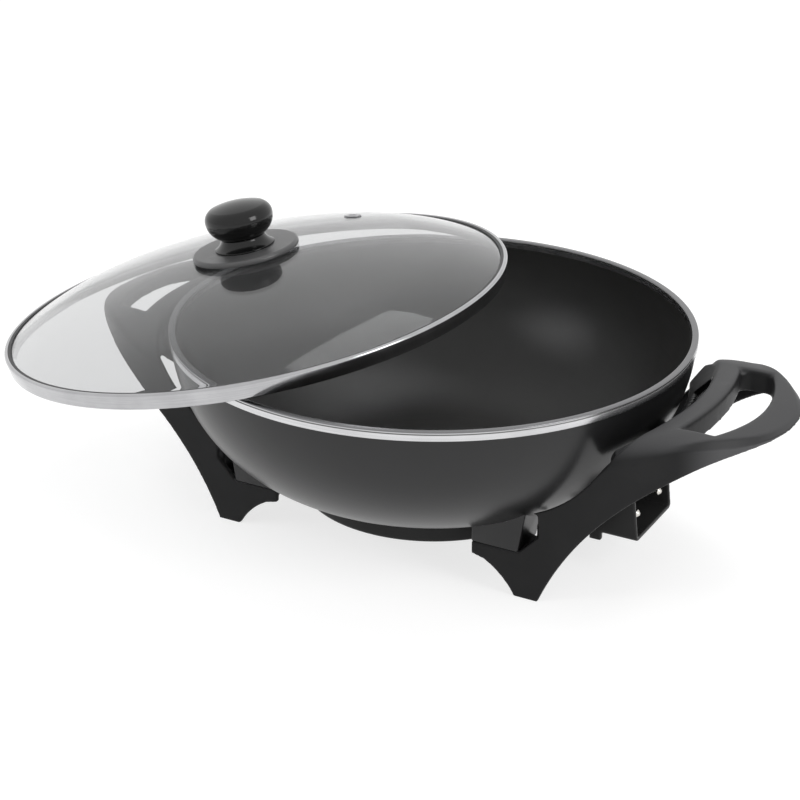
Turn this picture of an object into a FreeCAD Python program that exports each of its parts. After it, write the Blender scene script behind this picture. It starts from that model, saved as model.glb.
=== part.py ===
import FreeCAD, Part
import math
import os
import re

import Sketcher
from FreeCAD import Placement, Rotation, Vector

# Electric wok: a cast bowl on two handle-and-leg mouldings, an element and its
# inlet under the bowl, and a loose glass lid.
# Frame: millimetres, +Z up, the origin on the floor under the middle of the
# bowl, +X towards the handle that stands over the inlet, -Y the front.

X_AXIS = Vector(1, 0, 0)
Y_AXIS = Vector(0, 1, 0)
Z_AXIS = Vector(0, 0, 1)
SIDES = {"front": -1, "rear": 1}
ENDS = {"right": 1, "left": -1}
CLIP_HEADINGS = (100, 180, 260)
POST_HEADINGS = (60, 180, 300)

# shares of a slotted screw's head
HEAD_TOP = 0.8
HEAD_EDGE = 0.6
SLOT_HALF_WIDTH = 0.15
SLOT_DEPTH = 0.4

DRIVING_SIZES = {
    # bowl
    "rim_radius": 175,
    "rim_height": 138.2,
    "rim_band_height": 6,
    "rim_band_step": 0.8,
    "wall_arc": 105.5,
    "wall_thickness": 3.6,
    # cast features under the bowl
    "lug_bottom": 31.6,
    "lug_inner": 73,
    "lug_outer": 105.7,
    "lug_lean": 5.4,
    "lug_depth": 28.5,
    "lug_reach": 32.4,
    "seat_half_width": 12.2,
    "seat_open_angle": 70,
    "probe_height": 36,
    "probe_boss_radius": 6.5,
    "probe_boss_start": 70,
    "inlet_plane": 126.5,
    "rib_thickness": 5,
    "rib_rise": 4,
    "rib_chamfer": 3,
    "rim_boss_radius": 7,
    "rim_boss_face": 170.5,
    "rim_boss_depth": 14.4,
    "post_radius": 4.5,
    "post_circle": 35,
    # heating element
    "element_radius": 62,
    "element_height": 27.9,
    "sheath_radius": 3.7,
    "leg_bend": 12,
    "rise_start": 94,
    "rise_end": 123,
    "rise_bend": 14,
    "sheath_end": 131.5,
    "clip_wing": 11.4,
    "clip_angle": 8.5,
    "clip_thickness": 1,
    "clip_screw_offset": 8,
    # inlet
    "pin_spacing": 36.6,
    "pin_height": 42.4,
    "pin_radius": 2.75,
    "pin_neck_radius": 2.4,
    "pin_tip_radius": 1.1,
    "pin_tip_length": 1.65,
    "pin_tip": 160.4,
    "bush_radius": 4.6,
    "bush_flange_radius": 6,
    "bush_flange": 1.5,
    "bush_length": 4,
    "probe_bore_radius": 3.2,
    "sleeve_radius": 4.2,
    "sleeve_start": 100,
    "sleeve_flange_radius": 6,
    "sleeve_flange": 1.2,
    "plate_thickness": 1.5,
    "plate_half_width": 26.5,
    "plate_top": 48.6,
    # plug shroud
    "shroud_mouth": 163.8,
    "shroud_half_width": 29.2,
    "shroud_bottom": 27.5,
    "shroud_top": 63,
    "shroud_wall": 2.5,
    "shroud_corner": 3,
    "shroud_lean": 4,
    "shroud_bowl_gap": 1.2,
    "shroud_ear_drop": 5,
    "shroud_ear_length": 8,
    "shroud_ear_width": 4,
    "shroud_screw_side": 23,
    "shroud_screw_height": 35,
    # base cover
    "cover_radius": 90,
    "cover_bottom": 19.5,
    "cover_wall": 2,
    "cover_gap": 0.3,
    "cover_notch_half": 25,
    "cover_notch_bottom": 23,
    # handle and leg moulding
    "panel_face": 85,
    "panel_wall": 4,
    "foot_inner": 103.5,
    "foot_outer": 120,
    "foot_round": 52,
    "toe_inner": 81.4,
    "toe_height": 21,
    "toe_rise": 2,
    "leg_arc": 220,
    "knee_reach": 212,
    "knee_height": 106,
    "grip_arc": 88,
    "tip_reach": 252,
    "tip_low": 118,
    "tip_high": 120.5,
    "crown_arc": 136.3,
    "shoulder_arc": 24,
    "side_arc": 94,
    "tip_arc": 77.6,
    "slab_underside": 111,
    "sweep_arc": 93.1,
    "sweep_centre_radius": 96.6,
    "sweep_centre_height": 142.3,
    "opening_inner": 204,
    "opening_outer": 111,
    "opening_outer_centre": 120,
    "opening_half": 52,
    "opening_corner": 6,
    "flange_angle": 52,
    "flange_top_radius": 190.3,
    "flange_top_height": 122,
    "flange_low_radius": 171,
    "flange_low_height": 102.6,
    "flange_thickness": 6,
    "flange_land": 4,
    "flange_recess": 1.4,
    "flange_recess_angle": 28,
    "recess_low_edge": 4,
    "recess_high_edge": 5,
    "web_half_width": 24,
    "web_bottom": 86,
    "web_thickness": 4,
    "ledge_inner": 72.5,
    "ledge_outer": 120,
    "ledge_thickness": 3.5,
    "ledge_depth": 24,
    "ledge_rib_inner": 117,
    "ledge_rib_height": 26,
    "ledge_rib_depth": 15,
    "notch_outer": 120,
    "notch_rise": 46,
    "notch_top": 61,
    "notch_gap": 0.5,
    "notch_lean": 1.5,
    # fasteners
    "leg_screw_x": 92,
    "leg_screw_y": 69,
    "leg_screw_radius": 2.45,
    "leg_screw_length": 13.5,
    "leg_screw_head_radius": 4.6,
    "leg_screw_head": 3.4,
    "leg_hole_depth": 11.4,
    "rim_screw_height": 93.5,
    "rim_screw_radius": 2.45,
    "rim_screw_length": 9.4,
    "rim_screw_head_radius": 4.2,
    "rim_screw_head": 3,
    "rim_hole_depth": 5,
    "washer_thickness": 1,
    "screw_tip": 0.5,
    "rim_washer_radius": 5,
    "cover_screw_radius": 1.95,
    "cover_screw_length": 9,
    "cover_screw_head_radius": 3.6,
    "cover_screw_head": 2.4,
    "cover_hole_depth": 9,
    "small_screw_radius": 1.45,
    "small_screw_length": 5.5,
    "small_screw_head_radius": 2.6,
    "small_screw_head": 1.8,
    "small_hole_depth": 5.5,
    # lid, in its own frame with Z along its axis and its band standing on Z = 0
    "lid_radius": 174.3,
    "lid_band_height": 10.6,
    "band_metal": 0.8,
    "band_depth": 7.8,
    "band_inner_height": 5.5,
    "band_lip": 2.8,
    "seal_thickness": 1,
    "seal_base": 2.2,
    "glass_thickness": 4,
    "dome_height": 42,
    "crown_radius": 520,
    "crown_edge": 126,
    "dome_edge_radius": 169,
    "dome_edge_height": 10,
    "dome_edge_drop": 3.15,
    "vent_radius": 106,
    "vent_angle": 78,
    "vent_bore": 2.6,
    "vent_hole": 5.1,
    "vent_shank": 4,
    "vent_flange": 6.5,
    "vent_flange_thickness": 0.8,
    "vent_play": 0.15,
    # lid knob
    "shield_radius": 36.5,
    "shield_top": 45.8,
    "shield_edge": 42.3,
    "shield_shell": 2.6,
    "shield_round": 2.2,
    "shield_boss_draft": 2,
    "gasket_radius": 12,
    "gasket_thickness": 1,
    "knob_foot_radius": 20.4,
    "knob_foot_height": 1,
    "knob_foot_arc": 11,
    "knob_neck_radius": 14.7,
    "knob_neck_height": 7.8,
    "knob_neck_arc": 14,
    "knob_cap_radius": 23.25,
    "knob_cap_height": 20.7,
    "knob_cap_arc": 8.14,
    "knob_crown_radius": 18.6,
    "knob_height": 31.2,
    "knob_crown": 3,
    "insert_radius": 4,
    "insert_length": 15,
    "insert_floor": 2,
    "knob_screw_radius": 2,
    "knob_screw_head_radius": 4.2,
    "knob_screw_head": 2.6,
    "knob_screw_end": 3,
    "knob_screw_point": 1,
    "knob_washer_radius": 9,
    "knob_washer_play": 0.1,
    # how the lid lies on the rim
    "lid_shift_x": -124.3,
    "lid_shift_y": -21.5,
    "lid_tilt": 10.6,
    "lid_tilt_heading": -166.7,
    "lid_gap": 0.3,
    # how far a cut runs past what it cuts, and how deep one form sinks into the next
    "cut_margin": 5,
    "bite": 1,
    # fits
    "running_gap": 0.02,
    "thread_gap": 0.05,
    "free_gap": 0.15,
}

doc = FreeCAD.newDocument("ElectricWok")
sheet = doc.addObject("Spreadsheet::Sheet", "Sizes")
for row, (alias, size) in enumerate(DRIVING_SIZES.items(), start=1):
    sheet.set("A%d" % row, alias.replace("_", " "))
    sheet.set("B%d" % row, str(size))
    sheet.setAlias("B%d" % row, alias)
doc.recompute()


# --- formulas that several pieces share -------------------------------------

ARC_CENTRE = "(rim_radius - rim_band_step - wall_arc)"
UNDERSIDE = "(rim_height - wall_arc)"
CAVITY_ARC = "(wall_arc - wall_thickness)"
CAVITY_FLOOR = "(rim_height - wall_arc + wall_thickness)"
BAND_FOOT = "(rim_height - rim_band_height)"
PANEL_INNER = "(panel_face - panel_wall)"
LEDGE_BOTTOM = "(lug_bottom - ledge_thickness)"
WEB_OUTER = "(rim_boss_face + web_thickness)"
SHROUD_BACK = "(inlet_plane + plate_thickness)"
SHROUD_FLOOR = "(inlet_plane + plate_thickness + shroud_wall)"
COVER_FLOOR = "(cover_bottom + cover_wall)"
CLIP_SCREW_CIRCLE = "(element_radius + clip_screw_offset)"
GLASS_UNDERSIDE = "(dome_height - glass_thickness)"
SEAL_OUTER = "(lid_radius - band_metal)"
GLASS_RIM = "(lid_radius - band_metal - seal_thickness)"


def bind(formula):
    """Return the formula with every size name pointing into the sheet."""
    def into_sheet(match):
        word = match.group(0)
        return "Sizes." + word if word in DRIVING_SIZES else word
    return re.sub(r"[a-z][a-z_0-9]*", into_sheet, str(formula))


def value(formula):
    """Return the number that the formula gives now."""
    return float(sheet.evalExpression(bind(formula)))


def wall_at(height, growth="0"):
    """Return the formula of the bowl's outer radius at a height."""
    return "(%s + sqrt((wall_arc + %s)^2 - (rim_height - (%s))^2))" % (ARC_CENTRE, growth, height)


def polar(radius, heading):
    """Return the two formulas of a place at a radius and a heading in degrees."""
    return "%s * cos(%s * 1 deg)" % (radius, heading), "%s * sin(%s * 1 deg)" % (radius, heading)


def wall_over(radius, growth="0"):
    """Return the formula of the height of the bowl's underside at a radius."""
    return "(rim_height - sqrt((wall_arc + %s)^2 - ((%s) - %s)^2))" % (growth, radius, ARC_CENTRE)


# --- document helpers --------------------------------------------------------


def new_body(label):
    """Make a body whose label names its file."""
    body = doc.addObject("PartDesign::Body", label)
    body.Label = label
    return body


def new_sketch(body, plane, offset="0"):
    """Add a sketch on one of the body's origin planes, moved along its normal."""
    sketch = body.newObject("Sketcher::SketchObject", body.Label + "_sketch")
    planes = {feature.Role: feature for feature in body.Origin.OriginFeatures}
    sketch.AttachmentSupport = [(planes[plane], "")]
    sketch.MapMode = "FlatFace"
    sketch.setExpression("AttachmentOffset.Base.z", bind(offset))
    return sketch


def pin_vertex(sketch, edge, end, x, y):
    """Hold one end of an edge at the place that two formulas give."""
    for kind, formula in (("DistanceX", x), ("DistanceY", y)):
        number = sketch.addConstraint(Sketcher.Constraint(kind, -1, 1, edge, end, value(formula)))
        sketch.setExpression("Constraints[%d]" % number, bind(formula))


def arc_between(start, stop, radius):
    """Return the short arc from start to stop; a positive radius turns to the left."""
    chord = stop.sub(start)
    half = chord.Length / 2
    middle = start.add(stop).multiply(0.5)
    left = Vector(-chord.y, chord.x, 0).normalize()
    reach = math.sqrt(max(radius * radius - half * half, 0.0))
    centre = middle.add(left.multiply(math.copysign(reach, radius)))
    angles = [math.atan2(point.y - centre.y, point.x - centre.x) for point in (start, stop)]
    if radius < 0:
        angles.reverse()
    circle = Part.Circle(centre, Z_AXIS, abs(radius))
    return Part.ArcOfCircle(circle, angles[0], angles[1])


def draw_outline(sketch, corners):
    """Draw a closed outline; a corner's third formula is the radius of the arc that follows it."""
    points = [Vector(value(corner[0]), value(corner[1]), 0) for corner in corners]
    edges = []
    for index, corner in enumerate(corners):
        start = points[index]
        stop = points[(index + 1) % len(corners)]
        if len(corner) == 3:
            radius = value(corner[2])
            edge = sketch.addGeometry(arc_between(start, stop, radius))
            size = Sketcher.Constraint("Radius", edge, abs(radius))
            number = sketch.addConstraint(size)
            sketch.setExpression("Constraints[%d]" % number, bind("abs(%s)" % corner[2]))
            first, last = (1, 2) if radius > 0 else (2, 1)
        else:
            edge = sketch.addGeometry(Part.LineSegment(start, stop))
            first, last = 1, 2
        edges.append((edge, first, last))
        pin_vertex(sketch, edge, first, corner[0], corner[1])
    for index, (edge, first, last) in enumerate(edges):
        following, following_first, _ = edges[(index + 1) % len(edges)]
        joint = Sketcher.Constraint("Coincident", edge, last, following, following_first)
        sketch.addConstraint(joint)


def draw_circle(sketch, x, y, radius):
    """Draw a circle whose centre and radius are formulas."""
    centre = Vector(value(x), value(y), 0)
    edge = sketch.addGeometry(Part.Circle(centre, Z_AXIS, value(radius)))
    pin_vertex(sketch, edge, 3, x, y)
    number = sketch.addConstraint(Sketcher.Constraint("Radius", edge, value(radius)))
    sketch.setExpression("Constraints[%d]" % number, bind(radius))


def draw_box(sketch, x_low, x_high, y_low, y_high):
    """Draw a rectangle from its four limits."""
    draw_outline(sketch, [(x_low, y_low), (x_high, y_low), (x_high, y_high), (x_low, y_high)])


def add_feature(body, kind, sketch, sizes, reverse=False, side_type=None):
    """Add a sketch-based feature and check that it changes the volume as it should."""
    removes = kind in ("Pocket", "Groove")
    before = body.Shape.Volume if body.Tip and not body.Shape.isNull() else 0.0
    feature = body.newObject("PartDesign::" + kind, body.Label + "_" + kind.lower())
    feature.Profile = sketch
    if kind in ("Revolution", "Groove"):
        feature.ReferenceAxis = (sketch, ["V_Axis"])
        feature.Midplane = side_type == "Symmetric"
    elif side_type:
        feature.SideType = side_type
    feature.Reversed = reverse
    for name, formula in sizes.items():
        feature.setExpression(name, bind(formula))
    sketch.Visibility = False
    doc.recompute()
    gain = body.Shape.Volume - before
    if (gain > -1e-3) if removes else (gain < 1e-3):
        raise RuntimeError("%s leaves %s as it was" % (feature.Label, body.Label))
    return feature


def pad(body, sketch, length, reverse=False, side_type=None):
    """Extrude a sketch along its normal."""
    return add_feature(body, "Pad", sketch, {"Length": length}, reverse, side_type)


def pocket(body, sketch, length, reverse=False, side_type=None):
    """Cut a sketch away against its normal, or along it when reversed."""
    return add_feature(body, "Pocket", sketch, {"Length": length}, reverse, side_type)


def revolve(body, sketch, angle="360", side_type=None):
    """Turn a sketch about the upright axis."""
    return add_feature(body, "Revolution", sketch, {"Angle": angle}, side_type=side_type)


def groove(body, sketch, angle="360", side_type=None):
    """Cut a sketch away round the upright axis."""
    return add_feature(body, "Groove", sketch, {"Angle": angle}, side_type=side_type)


def place(piece, x="0", y="0", z="0", rotation=None):
    """Stand a piece at a place that three formulas give."""
    piece.Placement = Placement(Vector(), rotation or Rotation())
    for name, formula in (("x", x), ("y", y), ("z", z)):
        piece.setExpression("Placement.Base." + name, bind(formula))


def turned(label, corners):
    """Make a piece turned about its own upright axis from half its section."""
    body = new_body(label)
    sketch = new_sketch(body, "XZ_Plane")
    draw_outline(sketch, corners)
    revolve(body, sketch)
    return body


def screw(label, kind):
    """Make a slotted screw that points up, the underside of its head at Z = 0."""
    head = kind + "_head"
    body = turned(label, [
        ("0", "-" + head),
        ("%g * %s_radius" % (HEAD_TOP, head), "-" + head),
        (head + "_radius", "-%g * %s" % (HEAD_EDGE, head)),
        (head + "_radius", "0"),
        (kind + "_radius", "0"),
        (kind + "_radius", kind + "_length - screw_tip"),
        (kind + "_radius - screw_tip", kind + "_length"),
        ("0", kind + "_length")])
    slot = new_sketch(body, "XY_Plane", "-" + head)
    reach = "(%s_radius + cut_margin)" % head
    half = "(%g * %s_radius)" % (SLOT_HALF_WIDTH, head)
    draw_box(slot, "-" + reach, reach, "-" + half, half)
    pocket(body, slot, "%g * %s" % (SLOT_DEPTH, head), reverse=True)
    return body


# --- bowl ----------------------------------------------------------------------


def make_bowl():
    """Cast bowl with its leg lugs, element seat, probe boss, rim bosses and cover posts."""
    body = new_body("wok_bowl")
    outside = new_sketch(body, "XZ_Plane")
    draw_outline(outside, [
        ("0", UNDERSIDE),
        (ARC_CENTRE, UNDERSIDE, "wall_arc"),
        (wall_at(BAND_FOOT), BAND_FOOT),
        ("rim_radius", BAND_FOOT),
        ("rim_radius", "rim_height"),
        ("0", "rim_height")])
    revolve(body, outside)
    for side in SIDES.values():
        lugs = new_sketch(body, "XZ_Plane", "%d * (panel_face - lug_depth)" % -side)
        for end in ENDS.values():
            corners = [
                ("%d * lug_inner" % end, "lug_bottom"),
                ("%d * lug_outer" % end, "lug_bottom"),
                ("%d * (lug_outer + lug_lean)" % end, "lug_bottom + lug_reach"),
                ("%d * lug_inner" % end, "lug_bottom + lug_reach")]
            draw_outline(lugs, corners)
        pad(body, lugs, "lug_depth", reverse=side > 0)
    seat = new_sketch(body, "XZ_Plane")
    draw_box(seat, "-(element_radius + seat_half_width)", "-(element_radius - seat_half_width)",
             "element_height", UNDERSIDE + " + bite")
    revolve(body, seat, "360 - seat_open_angle", "Symmetric")
    probe = new_sketch(body, "YZ_Plane", "probe_boss_start")
    draw_circle(probe, "0", "probe_height", "probe_boss_radius")
    pad(body, probe, "inlet_plane - probe_boss_start")
    rib = new_sketch(body, "XZ_Plane")
    draw_outline(rib, [
        ("sleeve_start", "probe_height"),
        ("inlet_plane", "probe_height"),
        ("inlet_plane", "plate_top"),
        ("inlet_plane - rib_chamfer", "plate_top + rib_rise"),
        ("sleeve_start", "plate_top + rib_rise")])
    pad(body, rib, "rib_thickness", side_type="Symmetric")
    for end in ENDS.values():
        boss = new_sketch(body, "YZ_Plane", "%d * rim_boss_face" % end)
        draw_circle(boss, "0", "rim_screw_height", "rim_boss_radius")
        pad(body, boss, "rim_boss_depth", reverse=end > 0)
    posts = new_sketch(body, "XY_Plane", COVER_FLOOR)
    draw_posts(posts, "post_radius")
    pad(body, posts, "%s + bite - %s" % (UNDERSIDE, COVER_FLOOR))
    cavity = new_sketch(body, "XZ_Plane")
    draw_outline(cavity, [
        ("0", CAVITY_FLOOR),
        (ARC_CENTRE, CAVITY_FLOOR, CAVITY_ARC),
        ("%s + %s" % (ARC_CENTRE, CAVITY_ARC), "rim_height"),
        ("%s + %s" % (ARC_CENTRE, CAVITY_ARC), "rim_height + cut_margin"),
        ("0", "rim_height + cut_margin")])
    groove(body, cavity)
    drill_bowl(body)
    return body


def draw_posts(sketch, radius):
    """Draw the circles of the three cover fixings."""
    for heading in POST_HEADINGS:
        x, y = polar("post_circle", heading)
        draw_circle(sketch, x, y, radius)


def drill_bowl(body):
    """Cut the tube seat and every fixing hole into the casting."""
    tube = new_sketch(body, "XZ_Plane")
    draw_circle(tube, "-element_radius", "element_height", "sheath_radius + running_gap")
    groove(body, tube)
    legs = new_sketch(body, "XY_Plane", "lug_bottom")
    for end in ENDS.values():
        for side in SIDES.values():
            draw_circle(legs, "%d * leg_screw_x" % end, "%d * leg_screw_y" % side,
                        "leg_screw_radius + thread_gap")
    pocket(body, legs, "leg_hole_depth", reverse=True)
    bore = new_sketch(body, "YZ_Plane", "inlet_plane")
    draw_circle(bore, "0", "probe_height", "sleeve_radius + running_gap")
    pocket(body, bore, "inlet_plane - sleeve_start")
    for end in ENDS.values():
        hole = new_sketch(body, "YZ_Plane", "%d * rim_boss_face" % end)
        draw_circle(hole, "0", "rim_screw_height", "rim_screw_radius + thread_gap")
        pocket(body, hole, "rim_hole_depth", reverse=end < 0)
    cover = new_sketch(body, "XY_Plane", COVER_FLOOR)
    draw_posts(cover, "cover_screw_radius + thread_gap")
    pocket(body, cover, "cover_hole_depth", reverse=True)
    clips = new_sketch(body, "XY_Plane", "element_height")
    for heading in CLIP_HEADINGS:
        x, y = polar(CLIP_SCREW_CIRCLE, heading)
        draw_circle(clips, x, y, "small_screw_radius + thread_gap")
    pocket(body, clips, "small_hole_depth", reverse=True)


# --- element and inlet -------------------------------------------------------------


def bend_points(before, corner, after, radius):
    """Return the start, middle and end of the arc that rounds a corner."""
    into = corner.sub(before).normalize()
    out = after.sub(corner).normalize()
    turn = into.getAngle(out)
    setback = radius * math.tan(turn / 2)
    start = corner.sub(Vector(into).multiply(setback))
    stop = corner.add(Vector(out).multiply(setback))
    inward = Vector(out).sub(into).normalize()
    middle = corner.add(inward.multiply(radius / math.cos(turn / 2) - radius))
    return start, middle, stop


def element_path():
    """Return the wire of the sheath: a horseshoe, two legs and a rise to the inlet."""
    ring = value("element_radius")
    bend = value("leg_bend")
    side = value("pin_spacing") / 2
    low = value("element_height")
    high = value("pin_height")
    bend_x = math.sqrt((ring + bend) ** 2 - (side + bend) ** 2)
    bend_y = side + bend
    share = ring / (ring + bend)
    edges = []
    ends = {}
    for sign in (1, -1):
        leave = Vector(bend_x * share, sign * bend_y * share, low)
        join = Vector(bend_x, sign * side, low)
        centre = Vector(bend_x, sign * bend_y, low)
        halfway = leave.add(join).multiply(0.5).sub(centre).normalize().multiply(bend)
        first = Vector(value("rise_start"), sign * side, low)
        second = Vector(value("rise_end"), sign * side, high)
        finish = Vector(value("sheath_end"), sign * side, high)
        rise_in = bend_points(join, first, second, value("rise_bend"))
        rise_out = bend_points(first, second, finish, value("rise_bend"))
        edges += [
            Part.Arc(leave, centre.add(halfway), join).toShape(),
            Part.LineSegment(join, rise_in[0]).toShape(),
            Part.Arc(*rise_in).toShape(),
            Part.LineSegment(rise_in[2], rise_out[0]).toShape(),
            Part.Arc(*rise_out).toShape(),
            Part.LineSegment(rise_out[2], finish).toShape()]
        ends[sign] = (leave, finish)
    edges.append(Part.Arc(ends[1][0], Vector(-ring, 0, low), ends[-1][0]).toShape())
    return Part.Wire(Part.__sortEdges__(edges)), ends[1][1]


def make_element():
    """Sheathed element: one round tube along its path."""
    path, finish = element_path()
    circle = Part.Wire(Part.Circle(finish, X_AXIS, value("sheath_radius")).toShape())
    element = doc.addObject("Part::Feature", "heating_element")
    element.Label = "heating_element"
    element.Shape = path.makePipeShell([circle], True, False)
    expected = path.Length * math.pi * value("sheath_radius") ** 2
    if abs(element.Shape.Volume - expected) > 0.01 * expected:
        raise RuntimeError("the element's volume is not its section times its length")
    return element


def make_clips():
    """Three straps hold the tube in its seat, each with one screw."""
    pieces = []
    drop = "sqrt((sheath_radius + running_gap + clip_thickness)^2 - clip_thickness^2)"
    inner = "(sheath_radius + running_gap)"
    outer = "(sheath_radius + running_gap + clip_thickness)"
    middle = "-element_radius"
    for number, heading in enumerate(CLIP_HEADINGS, start=1):
        clip = new_body("element_clip_%d" % number)
        section = new_sketch(clip, "XZ_Plane")
        draw_outline(section, [
            (middle + " - clip_wing", "element_height"),
            (middle + " - " + inner, "element_height", inner),
            (middle, "element_height - " + inner, inner),
            (middle + " + " + inner, "element_height"),
            (middle + " + clip_wing", "element_height"),
            (middle + " + clip_wing", "element_height - clip_thickness"),
            (middle + " + " + drop, "element_height - clip_thickness", "-" + outer),
            (middle, "element_height - " + outer, "-" + outer),
            (middle + " - " + drop, "element_height - clip_thickness"),
            (middle + " - clip_wing", "element_height - clip_thickness")])
        revolve(clip, section, "clip_angle", "Symmetric")
        hole = new_sketch(clip, "XY_Plane", "element_height")
        draw_circle(hole, "-" + CLIP_SCREW_CIRCLE, "0", "small_screw_radius + free_gap")
        pocket(clip, hole, "2 * clip_thickness")
        place(clip, rotation=Rotation(Z_AXIS, heading - 180))
        fixing = screw("element_clip_screw_%d" % number, "small_screw")
        x, y = polar(CLIP_SCREW_CIRCLE, heading)
        place(fixing, x, y, "element_height - clip_thickness", Rotation(Z_AXIS, heading))
        pieces += [clip, fixing]
    return pieces


def make_pins():
    """Terminal pins and the ceramic bushes that they stand in."""
    pieces = []
    along = Rotation(Y_AXIS, 90)
    for name, side in SIDES.items():
        length = "(pin_tip - sheath_end)"
        step = "(sheath_end - %s)" % SHROUD_FLOOR
        pin = turned("inlet_pin_" + name, [
            ("0", "0"),
            ("pin_neck_radius", "0"),
            ("pin_neck_radius", "bush_length - " + step),
            ("pin_radius", "bush_length - " + step),
            ("pin_radius", length + " - pin_tip_length"),
            ("pin_tip_radius", length),
            ("0", length)])
        place(pin, "sheath_end", "%d * pin_spacing / 2" % side, "pin_height", along)
        bush = turned("pin_bush_" + name, [
            ("sheath_radius + running_gap", "0"),
            ("bush_flange_radius", "0"),
            ("bush_flange_radius", "bush_flange"),
            ("bush_radius", "bush_flange"),
            ("bush_radius", "bush_length"),
            ("pin_neck_radius + running_gap", "bush_length"),
            ("pin_neck_radius + running_gap", step),
            ("sheath_radius + running_gap", step)])
        place(bush, SHROUD_FLOOR, "%d * pin_spacing / 2" % side, "pin_height", along)
        pieces += [pin, bush]
    return pieces


def make_probe_sleeve():
    """Flanged sleeve that guides the control's probe and clamps the inlet plate."""
    length = "(inlet_plane + plate_thickness - sleeve_start)"
    sleeve = turned("probe_sleeve", [
        ("probe_bore_radius", "0"),
        ("sleeve_radius", "0"),
        ("sleeve_radius", length),
        ("sleeve_flange_radius", length),
        ("sleeve_flange_radius", length + " + sleeve_flange"),
        ("probe_bore_radius", length + " + sleeve_flange")])
    place(sleeve, "sleeve_start", "0", "probe_height", Rotation(Y_AXIS, 90))
    return sleeve


def make_inlet_plate():
    """Steel plate that ties the sheaths, the sleeve and the shroud together."""
    plate = new_body("inlet_plate")
    face = new_sketch(plate, "YZ_Plane", "inlet_plane")
    draw_outline(face, [
        ("-plate_half_width", "shroud_bottom"),
        ("plate_half_width", "shroud_bottom"),
        ("plate_half_width", "plate_top"),
        ("-plate_half_width", "plate_top")])
    draw_circle(face, "0", "probe_height", "sleeve_radius + running_gap")
    for side in SIDES.values():
        draw_circle(face, "%d * pin_spacing / 2" % side, "pin_height", "sheath_radius + running_gap")
        draw_circle(face, "%d * shroud_screw_side" % side, "shroud_screw_height",
                    "small_screw_radius + thread_gap")
    pad(plate, face, "plate_thickness")
    return plate


def draw_rounded_box(sketch, half_width, low, high, corner):
    """Draw a rectangle with rounded corners, symmetric about the upright axis."""
    inner = "(%s - %s)" % (half_width, corner)
    draw_outline(sketch, [
        ("-" + inner, low),
        (inner, low, corner),
        (half_width, "%s + %s" % (low, corner)),
        (half_width, "%s - %s" % (high, corner), corner),
        (inner, high),
        ("-" + inner, high, corner),
        ("-" + half_width, "%s - %s" % (high, corner)),
        ("-" + half_width, "%s + %s" % (low, corner), corner)])


def make_shroud():
    """Moulded guard round the pins, open where the control plugs in."""
    shroud = new_body("plug_shroud")
    outside = new_sketch(shroud, "YZ_Plane", SHROUD_BACK)
    draw_rounded_box(outside, "shroud_half_width", "shroud_bottom", "shroud_top", "shroud_corner")
    pad(shroud, outside, "shroud_mouth - " + SHROUD_BACK)
    ears = new_sketch(shroud, "XY_Plane", "shroud_bottom + shroud_corner")
    for side in SIDES.values():
        draw_box(ears, SHROUD_FLOOR, SHROUD_FLOOR + " + shroud_ear_length",
                 "%d * shroud_half_width" % side, "%d * (shroud_half_width - shroud_ear_width)" % side)
    pad(shroud, ears, "shroud_corner + shroud_ear_drop", reverse=True)
    inside = new_sketch(shroud, "YZ_Plane", "shroud_mouth")
    draw_rounded_box(inside, "(shroud_half_width - shroud_wall)", "(shroud_bottom + shroud_wall)",
                     "(shroud_top - shroud_wall)", "(shroud_corner / 2)")
    pocket(shroud, inside, "shroud_mouth - " + SHROUD_FLOOR)
    under_bowl = new_sketch(shroud, "XZ_Plane")
    draw_outline(under_bowl, [
        ("sleeve_start", wall_over("sleeve_start", "shroud_bowl_gap"), "wall_arc + shroud_bowl_gap"),
        (wall_at("shroud_top + cut_margin", "shroud_bowl_gap"), "shroud_top + cut_margin"),
        ("sleeve_start", "shroud_top + cut_margin")])
    groove(shroud, under_bowl)
    mouth = new_sketch(shroud, "XZ_Plane")
    draw_outline(mouth, [
        ("shroud_mouth", "shroud_bottom"),
        ("shroud_mouth + cut_margin", "shroud_bottom"),
        ("shroud_mouth + cut_margin", "shroud_top + cut_margin"),
        ("shroud_mouth - shroud_lean", "shroud_top + cut_margin"),
        ("shroud_mouth - shroud_lean", "shroud_top")])
    pocket(shroud, mouth, "3 * shroud_half_width", side_type="Symmetric")
    holes = new_sketch(shroud, "YZ_Plane", SHROUD_FLOOR)
    draw_circle(holes, "0", "probe_height", "sleeve_flange_radius + free_gap")
    for side in SIDES.values():
        draw_circle(holes, "%d * pin_spacing / 2" % side, "pin_height", "sheath_radius + free_gap")
        draw_circle(holes, "%d * shroud_screw_side" % side, "shroud_screw_height",
                    "small_screw_radius + free_gap")
    pocket(shroud, holes, "2 * shroud_wall")
    return shroud


def make_shroud_screws():
    """Two screws pull the shroud's end wall onto the inlet plate."""
    pieces = []
    for name, side in SIDES.items():
        fixing = screw("shroud_screw_" + name, "small_screw")
        place(fixing, SHROUD_FLOOR, "%d * shroud_screw_side" % side, "shroud_screw_height",
              Rotation(Y_AXIS, -90))
        pieces.append(fixing)
    return pieces


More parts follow.
